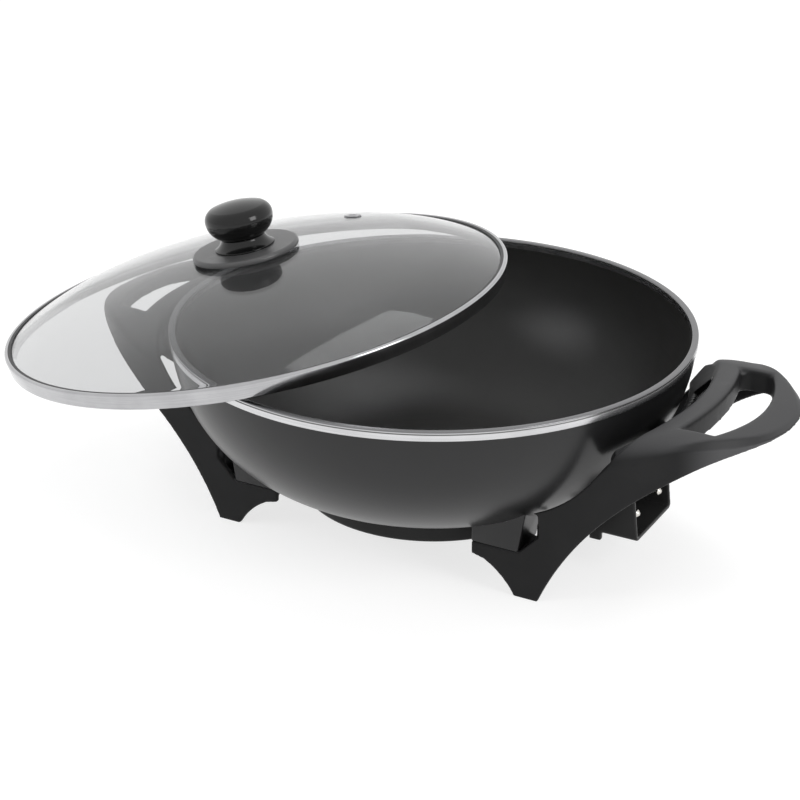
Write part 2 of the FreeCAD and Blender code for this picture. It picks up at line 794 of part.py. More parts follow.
def make_base_cover():
    """Shallow pan that closes the element chamber, notched for the inlet."""
    top = "(%s - cover_gap)" % wall_over("cover_radius - cover_wall")
    cover = turned("base_cover", [
        ("0", "cover_bottom"),
        ("cover_radius - cover_wall", "cover_bottom", "cover_wall"),
        ("cover_radius", COVER_FLOOR),
        ("cover_radius", top),
        ("cover_radius - cover_wall", top),
        ("cover_radius - cover_wall", COVER_FLOOR),
        ("0", COVER_FLOOR)])
    notch = new_sketch(cover, "YZ_Plane", "cover_radius + cut_margin")
    draw_box(notch, "-cover_notch_half", "cover_notch_half", "cover_notch_bottom", "rim_height")
    pocket(cover, notch, "cover_radius / 2")
    holes = new_sketch(cover, "XY_Plane", COVER_FLOOR)
    draw_posts(holes, "cover_screw_radius + free_gap")
    pocket(cover, holes, "2 * cover_wall")
    return cover


def make_cover_screws():
    """Three screws hold the cover on the casting's posts."""
    pieces = []
    for number, heading in enumerate(POST_HEADINGS, start=1):
        fixing = screw("base_cover_screw_%d" % number, "cover_screw")
        x, y = polar("post_circle", heading)
        place(fixing, x, y, "cover_bottom")
        pieces.append(fixing)
    return pieces


# --- handles and legs ---------------------------------------------------------------

TIP_CENTRE = "(tip_reach - tip_arc)"
ARC_STEP = "sqrt((side_arc - tip_arc)^2 - (side_arc - panel_face)^2)"
SIDE_START = "(tip_reach - tip_arc - %s)" % ARC_STEP


def draw_plan(sketch, start, inset="0"):
    """Draw the moulding's plan: straight sides, two shoulders and a round tip."""
    side = "(side_arc - %s)" % inset
    tip = "(tip_arc - %s)" % inset
    half = "(panel_face - %s)" % inset
    tangent_x = "(%s + %s * %s / (side_arc - tip_arc))" % (TIP_CENTRE, tip, ARC_STEP)
    tangent_y = "(%s * (side_arc - panel_face) / (side_arc - tip_arc))" % tip
    draw_outline(sketch, [
        (start, "-" + half),
        (SIDE_START, "-" + half, side),
        (tangent_x, "-" + tangent_y, tip),
        (tangent_x, tangent_y, side),
        (SIDE_START, half),
        (start, half)])


def make_handle(label):
    """One moulding: a grip with a finger opening, two side panels that are the legs, and feet."""
    body = new_body(label)
    profile = new_sketch(body, "XZ_Plane")
    draw_outline(profile, [
        ("foot_inner", "0"),
        ("foot_outer", "0", "-leg_arc"),
        ("knee_reach", "knee_height", "-grip_arc"),
        ("tip_reach", "tip_low"),
        ("tip_reach", "tip_high", "crown_arc"),
        ("2 * knee_reach - tip_reach", "tip_high"),
        ("lug_inner", "tip_high"),
        ("lug_inner", "toe_height + toe_rise"),
        ("toe_inner", "toe_height", "-foot_round")])
    pad(body, profile, "2 * panel_face", side_type="Symmetric")
    around = new_sketch(body, "XY_Plane")
    draw_box(around, "0", "tip_reach + cut_margin", "-(panel_face + cut_margin)",
             "panel_face + cut_margin")
    draw_plan(around, "lug_inner - cut_margin")
    pocket(body, around, "2 * rim_height", reverse=True)
    hollow = new_sketch(body, "XY_Plane")
    draw_plan(hollow, "lug_inner - cut_margin", "panel_wall")
    pocket(body, hollow, "slab_underside", reverse=True)
    cut_sweep(body)
    add_flange(body)
    cut_shoulders(body)
    add_ledges(body)
    cut_openings(body)
    return body


def cut_sweep(body):
    """Cut the panels and the grip back in one sweep round the bowl, and notch them for the lugs."""
    reach = "(sweep_centre_radius + sqrt(sweep_arc^2 - (rim_height - sweep_centre_height)^2))"
    sweep = new_sketch(body, "XZ_Plane")
    draw_outline(sweep, [
        ("0", "sweep_centre_height - sweep_arc"),
        ("sweep_centre_radius", "sweep_centre_height - sweep_arc", "sweep_arc"),
        (reach, "rim_height"),
        ("0", "rim_height")])
    groove(body, sweep)
    notch = new_sketch(body, "XZ_Plane")
    draw_outline(notch, [
        ("lug_inner - cut_margin", "lug_bottom"),
        ("lug_outer + notch_gap", "lug_bottom"),
        ("notch_outer", "notch_rise"),
        ("notch_outer - notch_lean", "notch_top"),
        ("lug_inner - cut_margin", "notch_top")])
    pocket(body, notch, "3 * panel_face", side_type="Symmetric")


def cut_shoulders(body):
    """Round the long edges between the grip's top and the side panels."""
    top = "(tip_high + crown_arc - sqrt(crown_arc^2 - (tip_reach - knee_reach)^2))"
    low = "(%s - shoulder_arc)" % top
    inner = "(panel_face - shoulder_arc)"
    above = new_sketch(body, "YZ_Plane")
    draw_outline(above, [
        ("-(panel_face + cut_margin)", low),
        ("-panel_face", low, "-shoulder_arc"),
        ("-" + inner, top),
        (inner, top, "-shoulder_arc"),
        ("panel_face", low),
        ("panel_face + cut_margin", low),
        ("panel_face + cut_margin", top + " + cut_margin"),
        ("-(panel_face + cut_margin)", top + " + cut_margin")])
    pocket(body, above, "tip_reach + cut_margin", reverse=True)


def add_flange(body):
    """Add the sloped inner flange that reaches down to the bowl, and the web for its screw."""
    flange = new_sketch(body, "XZ_Plane")
    draw_outline(flange, [
        ("flange_low_radius", "flange_low_height"),
        ("flange_top_radius", "flange_top_height"),
        ("opening_inner - flange_land", "flange_top_height"),
        ("opening_inner - flange_land", "slab_underside - bite"),
        ("flange_top_radius - flange_thickness", "slab_underside - bite"),
        ("flange_low_radius", "flange_low_height - flange_thickness")])
    revolve(body, flange, "flange_angle", "Symmetric")
    web = new_sketch(body, "YZ_Plane", "rim_boss_face")
    draw_box(web, "-web_half_width", "web_half_width", "web_bottom", "flange_low_height - bite")
    pad(body, web, "web_thickness")
    rise = "((flange_top_height - flange_low_height) / (flange_top_radius - flange_low_radius))"
    low = "(flange_low_radius + recess_low_edge)"
    high = "(flange_top_radius - recess_high_edge)"
    low_height = "(flange_low_height + recess_low_edge * %s)" % rise
    high_height = "(flange_top_height - recess_high_edge * %s)" % rise
    recess = new_sketch(body, "XZ_Plane")
    draw_outline(recess, [
        (low, low_height),
        (low + " + flange_recess", "%s - flange_recess" % low_height),
        (high + " + flange_recess", "%s - flange_recess" % high_height),
        (high, high_height),
        (high + " - cut_margin", high_height + " + cut_margin"),
        (low + " - cut_margin", low_height + " + cut_margin")])
    groove(body, recess, "flange_recess_angle", "Symmetric")


def add_ledges(body):
    """Add the ledge that each lug stands on, and the rib that backs the notch beside it."""
    for start, height, depth in (("ledge_inner", "ledge_thickness", "ledge_depth"),
                                 ("ledge_rib_inner", "ledge_rib_height", "ledge_rib_depth")):
        ledges = new_sketch(body, "XY_Plane", LEDGE_BOTTOM)
        for side in SIDES.values():
            draw_box(ledges, start, "ledge_outer", "%d * (%s + bite)" % (side, PANEL_INNER),
                     "%d * (%s - %s)" % (side, PANEL_INNER, depth))
        pad(body, ledges, height)


def cut_openings(body):
    """Cut the finger opening and the screw holes."""
    fingers = new_sketch(body, "XY_Plane", "slab_underside - cut_margin")
    middle = "(opening_half - opening_corner)"
    inner_middle = "sqrt((opening_inner + opening_corner)^2 - %s^2)" % middle
    outer_middle = "sqrt((opening_outer - opening_corner)^2 - %s^2)" % middle
    inner_share = "(opening_inner / (opening_inner + opening_corner))"
    outer_share = "(opening_outer / (opening_outer - opening_corner))"
    inner_end = ("%s * %s" % (inner_middle, inner_share), "%s * %s" % (middle, inner_share))
    outer_end = ("opening_outer_centre + %s * %s" % (outer_middle, outer_share),
                 "%s * %s" % (middle, outer_share))
    draw_outline(fingers, [
        (inner_end[0], "-" + inner_end[1], "opening_corner"),
        (inner_middle, "-opening_half"),
        ("opening_outer_centre + " + outer_middle, "-opening_half", "opening_corner"),
        (outer_end[0], "-" + outer_end[1], "opening_outer"),
        (outer_end[0], outer_end[1], "opening_corner"),
        ("opening_outer_centre + " + outer_middle, "opening_half"),
        (inner_middle, "opening_half", "opening_corner"),
        (inner_end[0], inner_end[1], "-opening_inner")])
    pocket(body, fingers, "rim_height", reverse=True)
    legs = new_sketch(body, "XY_Plane", "lug_bottom")
    for side in SIDES.values():
        draw_circle(legs, "leg_screw_x", "%d * leg_screw_y" % side, "leg_screw_radius + free_gap")
    pocket(body, legs, "2 * ledge_thickness")
    rim = new_sketch(body, "YZ_Plane", WEB_OUTER)
    draw_circle(rim, "0", "rim_screw_height", "rim_screw_radius + free_gap")
    pocket(body, rim, "2 * web_thickness")


def make_handle_set(name, end):
    """One handle moulding with its leg screws, rim screw and washer, turned to its end."""
    turn = Rotation(Z_AXIS, 0 if end > 0 else 180)
    handle = make_handle("handle_leg_" + name)
    place(handle, rotation=turn)
    pieces = [handle]
    for side_name, side in SIDES.items():
        leg_screw = screw("leg_screw_%s_%s" % (name, side_name), "leg_screw")
        place(leg_screw, "%d * leg_screw_x" % end, "%d * leg_screw_y" % side, LEDGE_BOTTOM)
        pieces.append(leg_screw)
    inward = turn.multiply(Rotation(Y_AXIS, -90))
    washer = turned("rim_washer_" + name, [
        ("rim_screw_radius + free_gap", "0"),
        ("rim_washer_radius", "0"),
        ("rim_washer_radius", "washer_thickness"),
        ("rim_screw_radius + free_gap", "washer_thickness")])
    place(washer, "%d * (%s + washer_thickness)" % (end, WEB_OUTER), "0", "rim_screw_height", inward)
    rim_screw = screw("rim_screw_" + name, "rim_screw")
    place(rim_screw, "%d * (%s + washer_thickness)" % (end, WEB_OUTER), "0", "rim_screw_height", inward)
    return pieces + [washer, rim_screw]


# --- lid -----------------------------------------------------------------------------


def crown_height(radius):
    """Return the formula of the glass's top surface inside the crown."""
    return "(dome_height - crown_radius + sqrt(crown_radius^2 - (%s)^2))" % radius


CROWN_LEAN_SIN = "(crown_edge / crown_radius)"
CROWN_LEAN_COS = "(sqrt(crown_radius^2 - crown_edge^2) / crown_radius)"
SHOULDER_X = "(dome_edge_radius - crown_edge)"
SHOULDER_Z = "(dome_edge_height - %s)" % crown_height("crown_edge")
SHOULDER_ARC = "(-(%s^2 + %s^2) / (2 * (%s * %s + %s * %s)))" % (
    SHOULDER_X, SHOULDER_Z, SHOULDER_X, CROWN_LEAN_SIN, SHOULDER_Z, CROWN_LEAN_COS)
SHOULDER_CENTRE_X = "(crown_edge - %s * %s)" % (SHOULDER_ARC, CROWN_LEAN_SIN)
SHOULDER_CENTRE_Z = "(%s - %s * %s)" % (crown_height("crown_edge"), SHOULDER_ARC, CROWN_LEAN_COS)
SEAL_INNER = "(lid_radius - band_depth + band_metal)"
FLANGE_TOP = "(dome_edge_height - dome_edge_drop)"


def make_glass():
    """Domed glass with a rounded shoulder, an upright edge, and holes for the knob and the vent."""
    inner_shoulder = "(%s - glass_thickness)" % SHOULDER_ARC
    inner_edge = "(%s - glass_thickness)" % GLASS_RIM
    inner_edge_height = "(%s + sqrt(%s^2 - (%s - %s)^2))" % (
        SHOULDER_CENTRE_Z, inner_shoulder, inner_edge, SHOULDER_CENTRE_X)
    glass = turned("lid_glass", [
        ("insert_radius + free_gap", crown_height("(insert_radius + free_gap)"), "-crown_radius"),
        ("crown_edge", crown_height("crown_edge"), "-" + SHOULDER_ARC),
        ("dome_edge_radius", "dome_edge_height"),
        (GLASS_RIM, FLANGE_TOP),
        (GLASS_RIM, "band_metal + seal_base"),
        (inner_edge, "band_metal + seal_base"),
        (inner_edge, inner_edge_height, inner_shoulder),
        ("crown_edge - glass_thickness * " + CROWN_LEAN_SIN,
         crown_height("crown_edge") + " - glass_thickness * " + CROWN_LEAN_COS,
         "(crown_radius - glass_thickness)"),
        ("insert_radius + free_gap", "dome_height - crown_radius + sqrt((crown_radius - glass_thickness)^2"
         " - (insert_radius + free_gap)^2)")])
    vent = new_sketch(glass, "XY_Plane")
    x, y = polar("vent_radius", "vent_angle")
    draw_circle(vent, x, y, "vent_hole")
    pocket(glass, vent, "2 * dome_height", reverse=True)
    return glass


def make_seal():
    """Soft channel between the glass edge and the metal band."""
    inner_edge = "(%s - glass_thickness)" % GLASS_RIM
    return turned("lid_seal", [
        (SEAL_INNER, "band_metal"),
        (SEAL_OUTER, "band_metal"),
        (SEAL_OUTER, FLANGE_TOP),
        (GLASS_RIM, FLANGE_TOP),
        (GLASS_RIM, "band_metal + seal_base"),
        (inner_edge, "band_metal + seal_base"),
        (inner_edge, "band_inner_height"),
        (SEAL_INNER, "band_inner_height")])


def make_band():
    """Rolled metal band round the lid: a channel with a turned-in top lip."""
    inside = "(lid_radius - band_depth)"
    return turned("lid_band", [
        (inside, "0"),
        ("lid_radius - band_metal", "0", "band_metal"),
        ("lid_radius", "band_metal"),
        ("lid_radius", "lid_band_height - band_metal", "band_metal"),
        ("lid_radius - band_metal", "lid_band_height"),
        ("lid_radius - band_lip", "lid_band_height"),
        ("lid_radius - band_lip", "lid_band_height - band_metal"),
        (SEAL_OUTER, "lid_band_height - band_metal"),
        (SEAL_OUTER, "band_metal"),
        (SEAL_INNER, "band_metal"),
        (SEAL_INNER, "band_inner_height"),
        (inside, "band_inner_height")])


def make_vent():
    """Flanged eyelet clinched through the glass, square to the dome."""
    flange = "vent_flange_thickness"
    top = "vent_play"
    bottom = "-(glass_thickness + vent_play)"
    return turned("vent_eyelet", [
        ("vent_bore", bottom + " - " + flange),
        ("vent_flange", bottom + " - " + flange),
        ("vent_flange", bottom),
        ("vent_shank", bottom),
        ("vent_shank", top),
        ("vent_flange", top),
        ("vent_flange - " + flange, "%s + %s" % (top, flange)),
        ("vent_bore + " + flange, "%s + %s" % (top, flange)),
        ("vent_bore", top)])


def make_knob():
    """Knob, its shield disc and everything that clamps them through the glass."""
    gasket_top = "(dome_height + gasket_thickness)"
    shield = turned("knob_shield", [
        ("insert_radius + free_gap", gasket_top),
        ("gasket_radius", gasket_top),
        ("gasket_radius + shield_boss_draft", "shield_top - shield_shell"),
        ("shield_radius - shield_shell", "shield_top - shield_shell"),
        ("shield_radius - shield_shell", "shield_edge"),
        ("shield_radius", "shield_edge"),
        ("shield_radius", "shield_top - shield_round", "shield_round"),
        ("shield_radius - shield_round", "shield_top"),
        ("insert_radius + free_gap", "shield_top")])
    gasket = turned("knob_gasket", [
        ("insert_radius + free_gap", "dome_height"),
        ("gasket_radius", "dome_height"),
        ("gasket_radius", gasket_top),
        ("insert_radius + free_gap", gasket_top)])
    grip = turned("knob_grip", [
        ("insert_radius + running_gap", "shield_top"),
        ("knob_foot_radius", "shield_top"),
        ("knob_foot_radius", "shield_top + knob_foot_height", "-knob_foot_arc"),
        ("knob_neck_radius", "shield_top + knob_neck_height", "knob_neck_arc"),
        ("knob_cap_radius", "shield_top + knob_cap_height", "knob_cap_arc"),
        ("knob_crown_radius", "shield_top + knob_height - knob_crown",
         "(knob_crown_radius^2 + knob_crown^2) / (2 * knob_crown)"),
        ("0", "shield_top + knob_height"),
        ("0", "shield_top + insert_length"),
        ("insert_radius + running_gap", "shield_top + insert_length")])
    insert = turned("knob_insert", [
        ("knob_screw_radius + thread_gap", "shield_top"),
        ("insert_radius", "shield_top"),
        ("insert_radius", "shield_top + insert_length"),
        ("0", "shield_top + insert_length"),
        ("0", "shield_top + insert_length - insert_floor"),
        ("knob_screw_radius + thread_gap", "shield_top + insert_length - insert_floor")])
    washer_top = "(%s - knob_washer_play)" % GLASS_UNDERSIDE
    head_top = "(%s - washer_thickness)" % washer_top
    washer = turned("knob_washer", [
        ("knob_screw_radius + free_gap", head_top),
        ("knob_washer_radius", head_top),
        ("knob_washer_radius", washer_top),
        ("knob_screw_radius + free_gap", washer_top)])
    fixing = turned("knob_screw", [
        ("0", head_top + " - knob_screw_head"),
        ("%g * knob_screw_head_radius" % HEAD_TOP, head_top + " - knob_screw_head"),
        ("knob_screw_head_radius", "%s - %g * knob_screw_head" % (head_top, HEAD_EDGE)),
        ("knob_screw_head_radius", head_top),
        ("knob_screw_radius", head_top),
        ("knob_screw_radius", "shield_top + insert_length - knob_screw_end - knob_screw_point"),
        ("0", "shield_top + insert_length - knob_screw_end")])
    return [shield, gasket, grip, insert, washer, fixing]


RIM_STEPS = 1440
RIM_RINGS = 8


def lid_rotation():
    """Return the rotation that tips the lid down towards its heading."""
    heading = math.radians(value("lid_tilt_heading"))
    axis = Vector(-math.sin(heading), math.cos(heading), 0)
    return Rotation(axis, value("lid_tilt"))


def lid_rest_height():
    """Return the height of the lid's centre at which its band just clears the bowl's rim."""
    up = lid_rotation().multVec(Z_AXIS)
    shift = Vector(value("lid_shift_x"), value("lid_shift_y"), 0)
    inner = value("%s + %s" % (ARC_CENTRE, CAVITY_ARC))
    outer = value("rim_radius")
    band_inner = value("lid_radius - band_depth")
    band_outer = value("lid_radius")
    margin = value("bite")
    rises = []
    for index in range(RIM_STEPS):
        angle = 2 * math.pi * index / RIM_STEPS
        for ring in range(RIM_RINGS + 1):
            radius = inner + (outer - inner) * ring / RIM_RINGS
            spot = Vector(radius * math.cos(angle), radius * math.sin(angle), 0).sub(shift)
            if band_inner - margin <= spot.Length <= band_outer + margin:
                rises.append((up.x * spot.x + up.y * spot.y) / up.z)
    return value("rim_height + lid_gap") + max(rises)


def make_lid():
    """All pieces of the lid, tipped together as it lies on the rim."""
    vent = make_vent()
    pieces = [make_glass(), make_seal(), make_band()] + make_knob()
    tilt = lid_rotation()
    centre = Vector(value("lid_shift_x"), value("lid_shift_y"), lid_rest_height())
    for piece in pieces:
        piece.Placement = Placement(centre, tilt)
    heading = value("vent_angle")
    angle = math.radians(heading)
    radius = value("vent_radius")
    spot = Vector(radius * math.cos(angle), radius * math.sin(angle), value(crown_height("vent_radius")))
    lean = math.degrees(math.asin(radius / value("crown_radius")))
    square = Rotation(Z_AXIS, heading).multiply(Rotation(Y_AXIS, lean))
    vent.Placement = Placement(centre, tilt).multiply(Placement(spot, square))
    return pieces + [vent]


# --- whole object -------------------------------------------------------------------


def check(pieces):
    """Stop if any object failed or any piece is not one valid solid."""
    doc.recompute()
    for item in doc.Objects:
        if "Invalid" in item.State or "Error" in item.State:
            raise RuntimeError("%s failed: %s" % (item.Label, item.State))
    for piece in pieces:
        shape = piece.Shape
        if shape.isNull() or not shape.isValid() or len(shape.Solids) != 1:
            raise RuntimeError("%s is not one valid solid" % piece.Label)


def export(pieces):
    """Write each piece's solid to the file that its label names."""
    os.makedirs("parts", exist_ok=True)
    for piece in pieces:
        piece.Shape.exportStep(os.path.join("parts", piece.Label + ".step"))
        print("%-26s %10.1f mm3" % (piece.Label, piece.Shape.Volume))


def main():
    """Build every piece, check them all and write them out."""
    pieces = [make_bowl(), make_element()]
    pieces += make_clips()
    pieces += make_pins()
    pieces += [make_probe_sleeve(), make_inlet_plate(), make_shroud()]
    pieces += make_shroud_screws()
    pieces.append(make_base_cover())
    pieces += make_cover_screws()
    for name, end in ENDS.items():
        pieces += make_handle_set(name, end)
    pieces += make_lid()
    check(pieces)
    export(pieces)
    print("%d pieces" % len(pieces))


main()
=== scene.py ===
"""Electric wok: a cast bowl on two handle-and-leg mouldings, with an inlet shroud and a glass lid.

Every length is written in millimetres and goes into the scene in metres, in the frame of the
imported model: Z is up, the floor is at 0 and the bowl's axis stands on the origin.
"""

import logging
import math
from collections.abc import Callable, Sequence
from dataclasses import dataclass, field
from enum import Enum

import bpy
from mathutils import Matrix, Vector


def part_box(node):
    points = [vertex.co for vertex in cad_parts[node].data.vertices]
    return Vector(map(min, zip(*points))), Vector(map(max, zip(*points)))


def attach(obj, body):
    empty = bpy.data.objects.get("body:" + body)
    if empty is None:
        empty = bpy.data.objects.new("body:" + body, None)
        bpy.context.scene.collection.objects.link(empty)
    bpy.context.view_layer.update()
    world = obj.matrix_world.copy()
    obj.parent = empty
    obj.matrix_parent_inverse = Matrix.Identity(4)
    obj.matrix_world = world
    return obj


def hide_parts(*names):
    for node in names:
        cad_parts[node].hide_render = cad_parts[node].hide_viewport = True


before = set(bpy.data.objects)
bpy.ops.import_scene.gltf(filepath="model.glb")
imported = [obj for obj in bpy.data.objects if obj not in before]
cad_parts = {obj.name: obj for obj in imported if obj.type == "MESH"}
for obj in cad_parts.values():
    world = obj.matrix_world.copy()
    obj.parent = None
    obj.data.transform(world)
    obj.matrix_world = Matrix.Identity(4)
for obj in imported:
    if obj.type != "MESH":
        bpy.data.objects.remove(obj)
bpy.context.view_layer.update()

LOG = logging.getLogger("electric_wok")
MM = 0.001
Point = tuple[float, float]
Place = tuple[float, float, float]
Corner = tuple[float, float, float]
Colour = tuple[float, float, float]
WHITE = (1.0, 1.0, 1.0, 1.0)


class Body(Enum):
    """The two bodies that pieces ride on."""

    WOK = "wok"
    LID = "lid"


class Slot(Enum):
    """Names of material slots, listed with the lid's pieces; no step reads them."""

    CASTING = "cast_body"
    HANDLE = "handle_moulding"
    SHROUD = "shroud_moulding"
    COVER = "cover_coat"
    PINS = "pin_plating"
    GLASS = "lid_glass"
    SEAL = "seal_rubber"
    BAND = "band_steel"
    KNOB = "knob_gloss"
    SHIELD = "shield_moulding"


# --- material nodes ---------------------------------------------------------------


class Channel:
    """A value that runs through a material's nodes, with plain arithmetic."""

    def __init__(self, sheet: "NodeSheet", socket: bpy.types.NodeSocket) -> None:
        """Keep the sheet and the socket that carries the value."""
        self.sheet = sheet
        self.socket = socket

    def _math(self, operation: str, first: object, second: object) -> "Channel":
        """Return the result of one Math node."""
        return self.sheet.value("ShaderNodeMath", {"operation": operation}, {0: first, 1: second})

    def __add__(self, other: object) -> "Channel":
        """Return self + other."""
        return self._math("ADD", self, other)

    def __radd__(self, other: object) -> "Channel":
        """Return other + self."""
        return self._math("ADD", other, self)

    def __sub__(self, other: object) -> "Channel":
        """Return self - other."""
        return self._math("SUBTRACT", self, other)

    def __rsub__(self, other: object) -> "Channel":
        """Return other - self."""
        return self._math("SUBTRACT", other, self)

    def __mul__(self, other: object) -> "Channel":
        """Return self * other."""
        return self._math("MULTIPLY", self, other)

    def __truediv__(self, other: object) -> "Channel":
        """Return self / other."""
        return self._math("DIVIDE", self, other)

    def __pow__(self, other: object) -> "Channel":
        """Return self to the power of other."""
        return self._math("POWER", self, other)

    def largest(self, other: object) -> "Channel":
        """Return the larger of the two values."""
        return self._math("MAXIMUM", self, other)

    def heading(self, across: object) -> "Channel":
        """Return the heading in radians of a point that lies this far up and that far across."""
        return self._math("ARCTAN2", self, across)

    def ease(self, low: float, high: float, to_low: float = 0.0, to_high: float = 1.0) -> "Channel":
        """Return a smooth step from to_low at low to to_high at high.

        Args:
            low: Value where the step starts.
            high: Value where the step ends.
            to_low: Result before the step.
            to_high: Result after the step.

        Returns:
            The stepped value.
        """
        settings = {"interpolation_type": "SMOOTHSTEP"}
        values = {0: self, 1: low, 2: high, 3: to_low, 4: to_high}
        return self.sheet.value("ShaderNodeMapRange", settings, values)


class NodeSheet:
    """A material's node tree and the few nodes that the finishes are made of."""

    def __init__(self, tree: bpy.types.NodeTree) -> None:
        """Start from an empty tree."""
        self.tree = tree
        self.tree.nodes.clear()

    def node(self, kind: str, settings: dict[str, object] | None = None,
             values: dict[int | str, object] | None = None) -> bpy.types.Node:
        """Make any node, set it up, then give its inputs their values or links.

        Args:
            kind: Blender's name of the node type.
            settings: Properties of the node, set before its inputs.
            values: Inputs by index or name; a Channel is linked and anything else is set.

        Returns:
            The new node.
        """
        made = self.tree.nodes.new(kind)
        for name, setting in (settings or {}).items():
            setattr(made, name, setting)
        for key, value in (values or {}).items():
            if isinstance(value, Channel):
                self.tree.links.new(value.socket, made.inputs[key])
            else:
                made.inputs[key].default_value = value
        return made

    def value(self, kind: str, settings: dict[str, object] | None = None,
              values: dict[int | str, object] | None = None, output: int | str = 0) -> Channel:
        """Make any node and return what comes out of it.

        Args:
            kind: Blender's name of the node type.
            settings: Properties of the node.
            values: Inputs by index or name.
            output: Index or name of the output.

        Returns:
            The value of that output.
        """
        return Channel(self, self.node(kind, settings, values).outputs[output])

    def place(self, location: Place = (0, 0, 0), rotation: Place = (0, 0, 0)) -> Channel:
        """Return object coordinates in metres, turned and then moved."""
        source = self.value("ShaderNodeTexCoord", output="Object")
        values = {"Vector": source, "Location": location, "Rotation": rotation}
        return self.value("ShaderNodeMapping", {"vector_type": "POINT"}, values)

    def split(self, vector: Channel) -> tuple[Channel, Channel, Channel]:
        """Return the three parts of a vector."""
        node = self.node("ShaderNodeSeparateXYZ", values={0: vector})
        x, y, z = (Channel(self, output) for output in node.outputs[:3])
        return x, y, z

    def join(self, x: object, y: object, z: object) -> Channel:
        """Return a vector made of three values."""
        return self.value("ShaderNodeCombineXYZ", values={0: x, 1: y, 2: z})

    def noise(self, vector: Channel, scale: float, detail: float = 2.0, spread: float = 0.5) -> Channel:
        """Return smooth noise between about 0.2 and 0.8.

        Args:
            vector: Place in metres.
            scale: Number of waves to a metre.
            detail: Number of finer layers.
            spread: Strength of each finer layer against the one before.

        Returns:
            The noise.
        """
        values = {"Vector": vector, "Scale": scale, "Detail": detail, "Roughness": spread}
        return self.value("ShaderNodeTexNoise", {"noise_dimensions": "3D"}, values)

    def cells(self, vector: Channel, scale: float) -> Channel:
        """Return the distance to the nearest point of a scattered set."""
        values = {"Vector": vector, "Scale": scale}
        return self.value("ShaderNodeTexVoronoi", {"feature": "F1"}, values, "Distance")

    def blend(self, factor: object, first: object, second: object) -> Channel:
        """Return a colour between first and second."""
        values = {0: factor, 6: opaque(first), 7: opaque(second)}
        return self.value("ShaderNodeMix", {"data_type": "RGBA"}, values, 2)

    def bump(self, height: Channel, strength: float, depth: float) -> Channel:
        """Return a normal that follows a height; depth is in millimetres."""
        values = {"Height": height, "Strength": strength, "Distance": depth * MM}
        return self.value("ShaderNodeBump", values=values)

    def mix(self, factor: object, first: Channel, second: Channel) -> Channel:
        """Return a shader between first and second."""
        return self.value("ShaderNodeMixShader", values={0: factor, 1: first, 2: second})

    def diffuse(self, colour: Colour) -> Channel:
        """Return a shader of one flat matt colour."""
        return self.value("ShaderNodeBsdfDiffuse", values={"Color": opaque(colour)})

    def surface(self, values: dict[int | str, object]) -> None:
        """Make the main shader and send it to the output."""
        self.output(self.value("ShaderNodeBsdfPrincipled", values=values))

    def output(self, shader: Channel, kind: str = "ShaderNodeOutputMaterial") -> None:
        """Send a shader to the tree's output."""
        self.node(kind, values={"Surface": shader})


def opaque(colour: object) -> object:
    """Return a colour with an alpha of one, or a Channel as it is."""
    return colour if isinstance(colour, Channel) else (*colour, 1.0)


def new_material(name: str) -> tuple[bpy.types.Material, NodeSheet]:
    """Make a material and the sheet that its nodes go on."""
    material = bpy.data.materials.new(name)
    material.use_nodes = True
    return material, NodeSheet(material.node_tree)


# --- finishes ---------------------------------------------------------------------


@dataclass(frozen=True)
class Axis:
    """An axis that turning marks run round, with its own coordinates."""

    location: Place = (0.0, 0.0, 0.0)
    rotation: Place = (0.0, 0.0, 0.0)

    def section(self, sheet: NodeSheet) -> tuple[Channel, Channel, Channel]:
        """Return a point's radius, its height along the axis and its place on the turn.

        Args:
            sheet: The sheet of the material.

        Returns:
            Radius and height in metres, and the heading in radians.
        """
        x, y, z = sheet.split(sheet.place(self.location, self.rotation))
        return (x * x + y * y) ** 0.5, z, y.heading(x)

    def rings(self, sheet: NodeSheet, marks: float, detail: float, spread: float,
              drift: float) -> Channel:
        """Return the noise of turning marks, drawn out round the axis.

        Args:
            sheet: The sheet of the material.
            marks: Number of waves to a metre across the marks.
            detail: Number of finer layers.
            spread: Strength of each finer layer against the one before.
            drift: Metres that the marks change by in a radian round the axis.

        Returns:
            The noise.
        """
        radius, height, heading = self.section(sheet)
        return sheet.noise(sheet.join(radius, height, heading * drift), marks, detail, spread)


@dataclass(frozen=True)
class Casting:
    """Sprayed and baked coat on the outside of the casting."""

    name: str = "bowl_coat"
    colour: Colour = (0.010, 0.010, 0.0105)
    light: Colour = (0.013, 0.013, 0.0135)
    roughness: float = 0.30

    def material(self) -> bpy.types.Material:
        """Return the coat's material: smooth and even, with a faint orange-peel relief."""
        material, sheet = new_material(self.name)
        place = sheet.place()
        cloud = sheet.noise(place, 16.0, 3.0)
        peel = sheet.noise(place, 420.0, 2.0)
        grain = sheet.noise(place, 1800.0, 2.0)
        colour = sheet.blend(cloud.ease(0.3, 0.75), self.colour, self.light)
        rough = self.roughness + (cloud - 0.5) * 0.04 + (grain - 0.5) * 0.06
        sheet.surface({"Base Color": colour, "Roughness": rough, "Specular IOR Level": 0.4,
                       "Normal": sheet.bump(peel * 0.7 + grain * 0.3, 0.08, 0.06)})
        return material


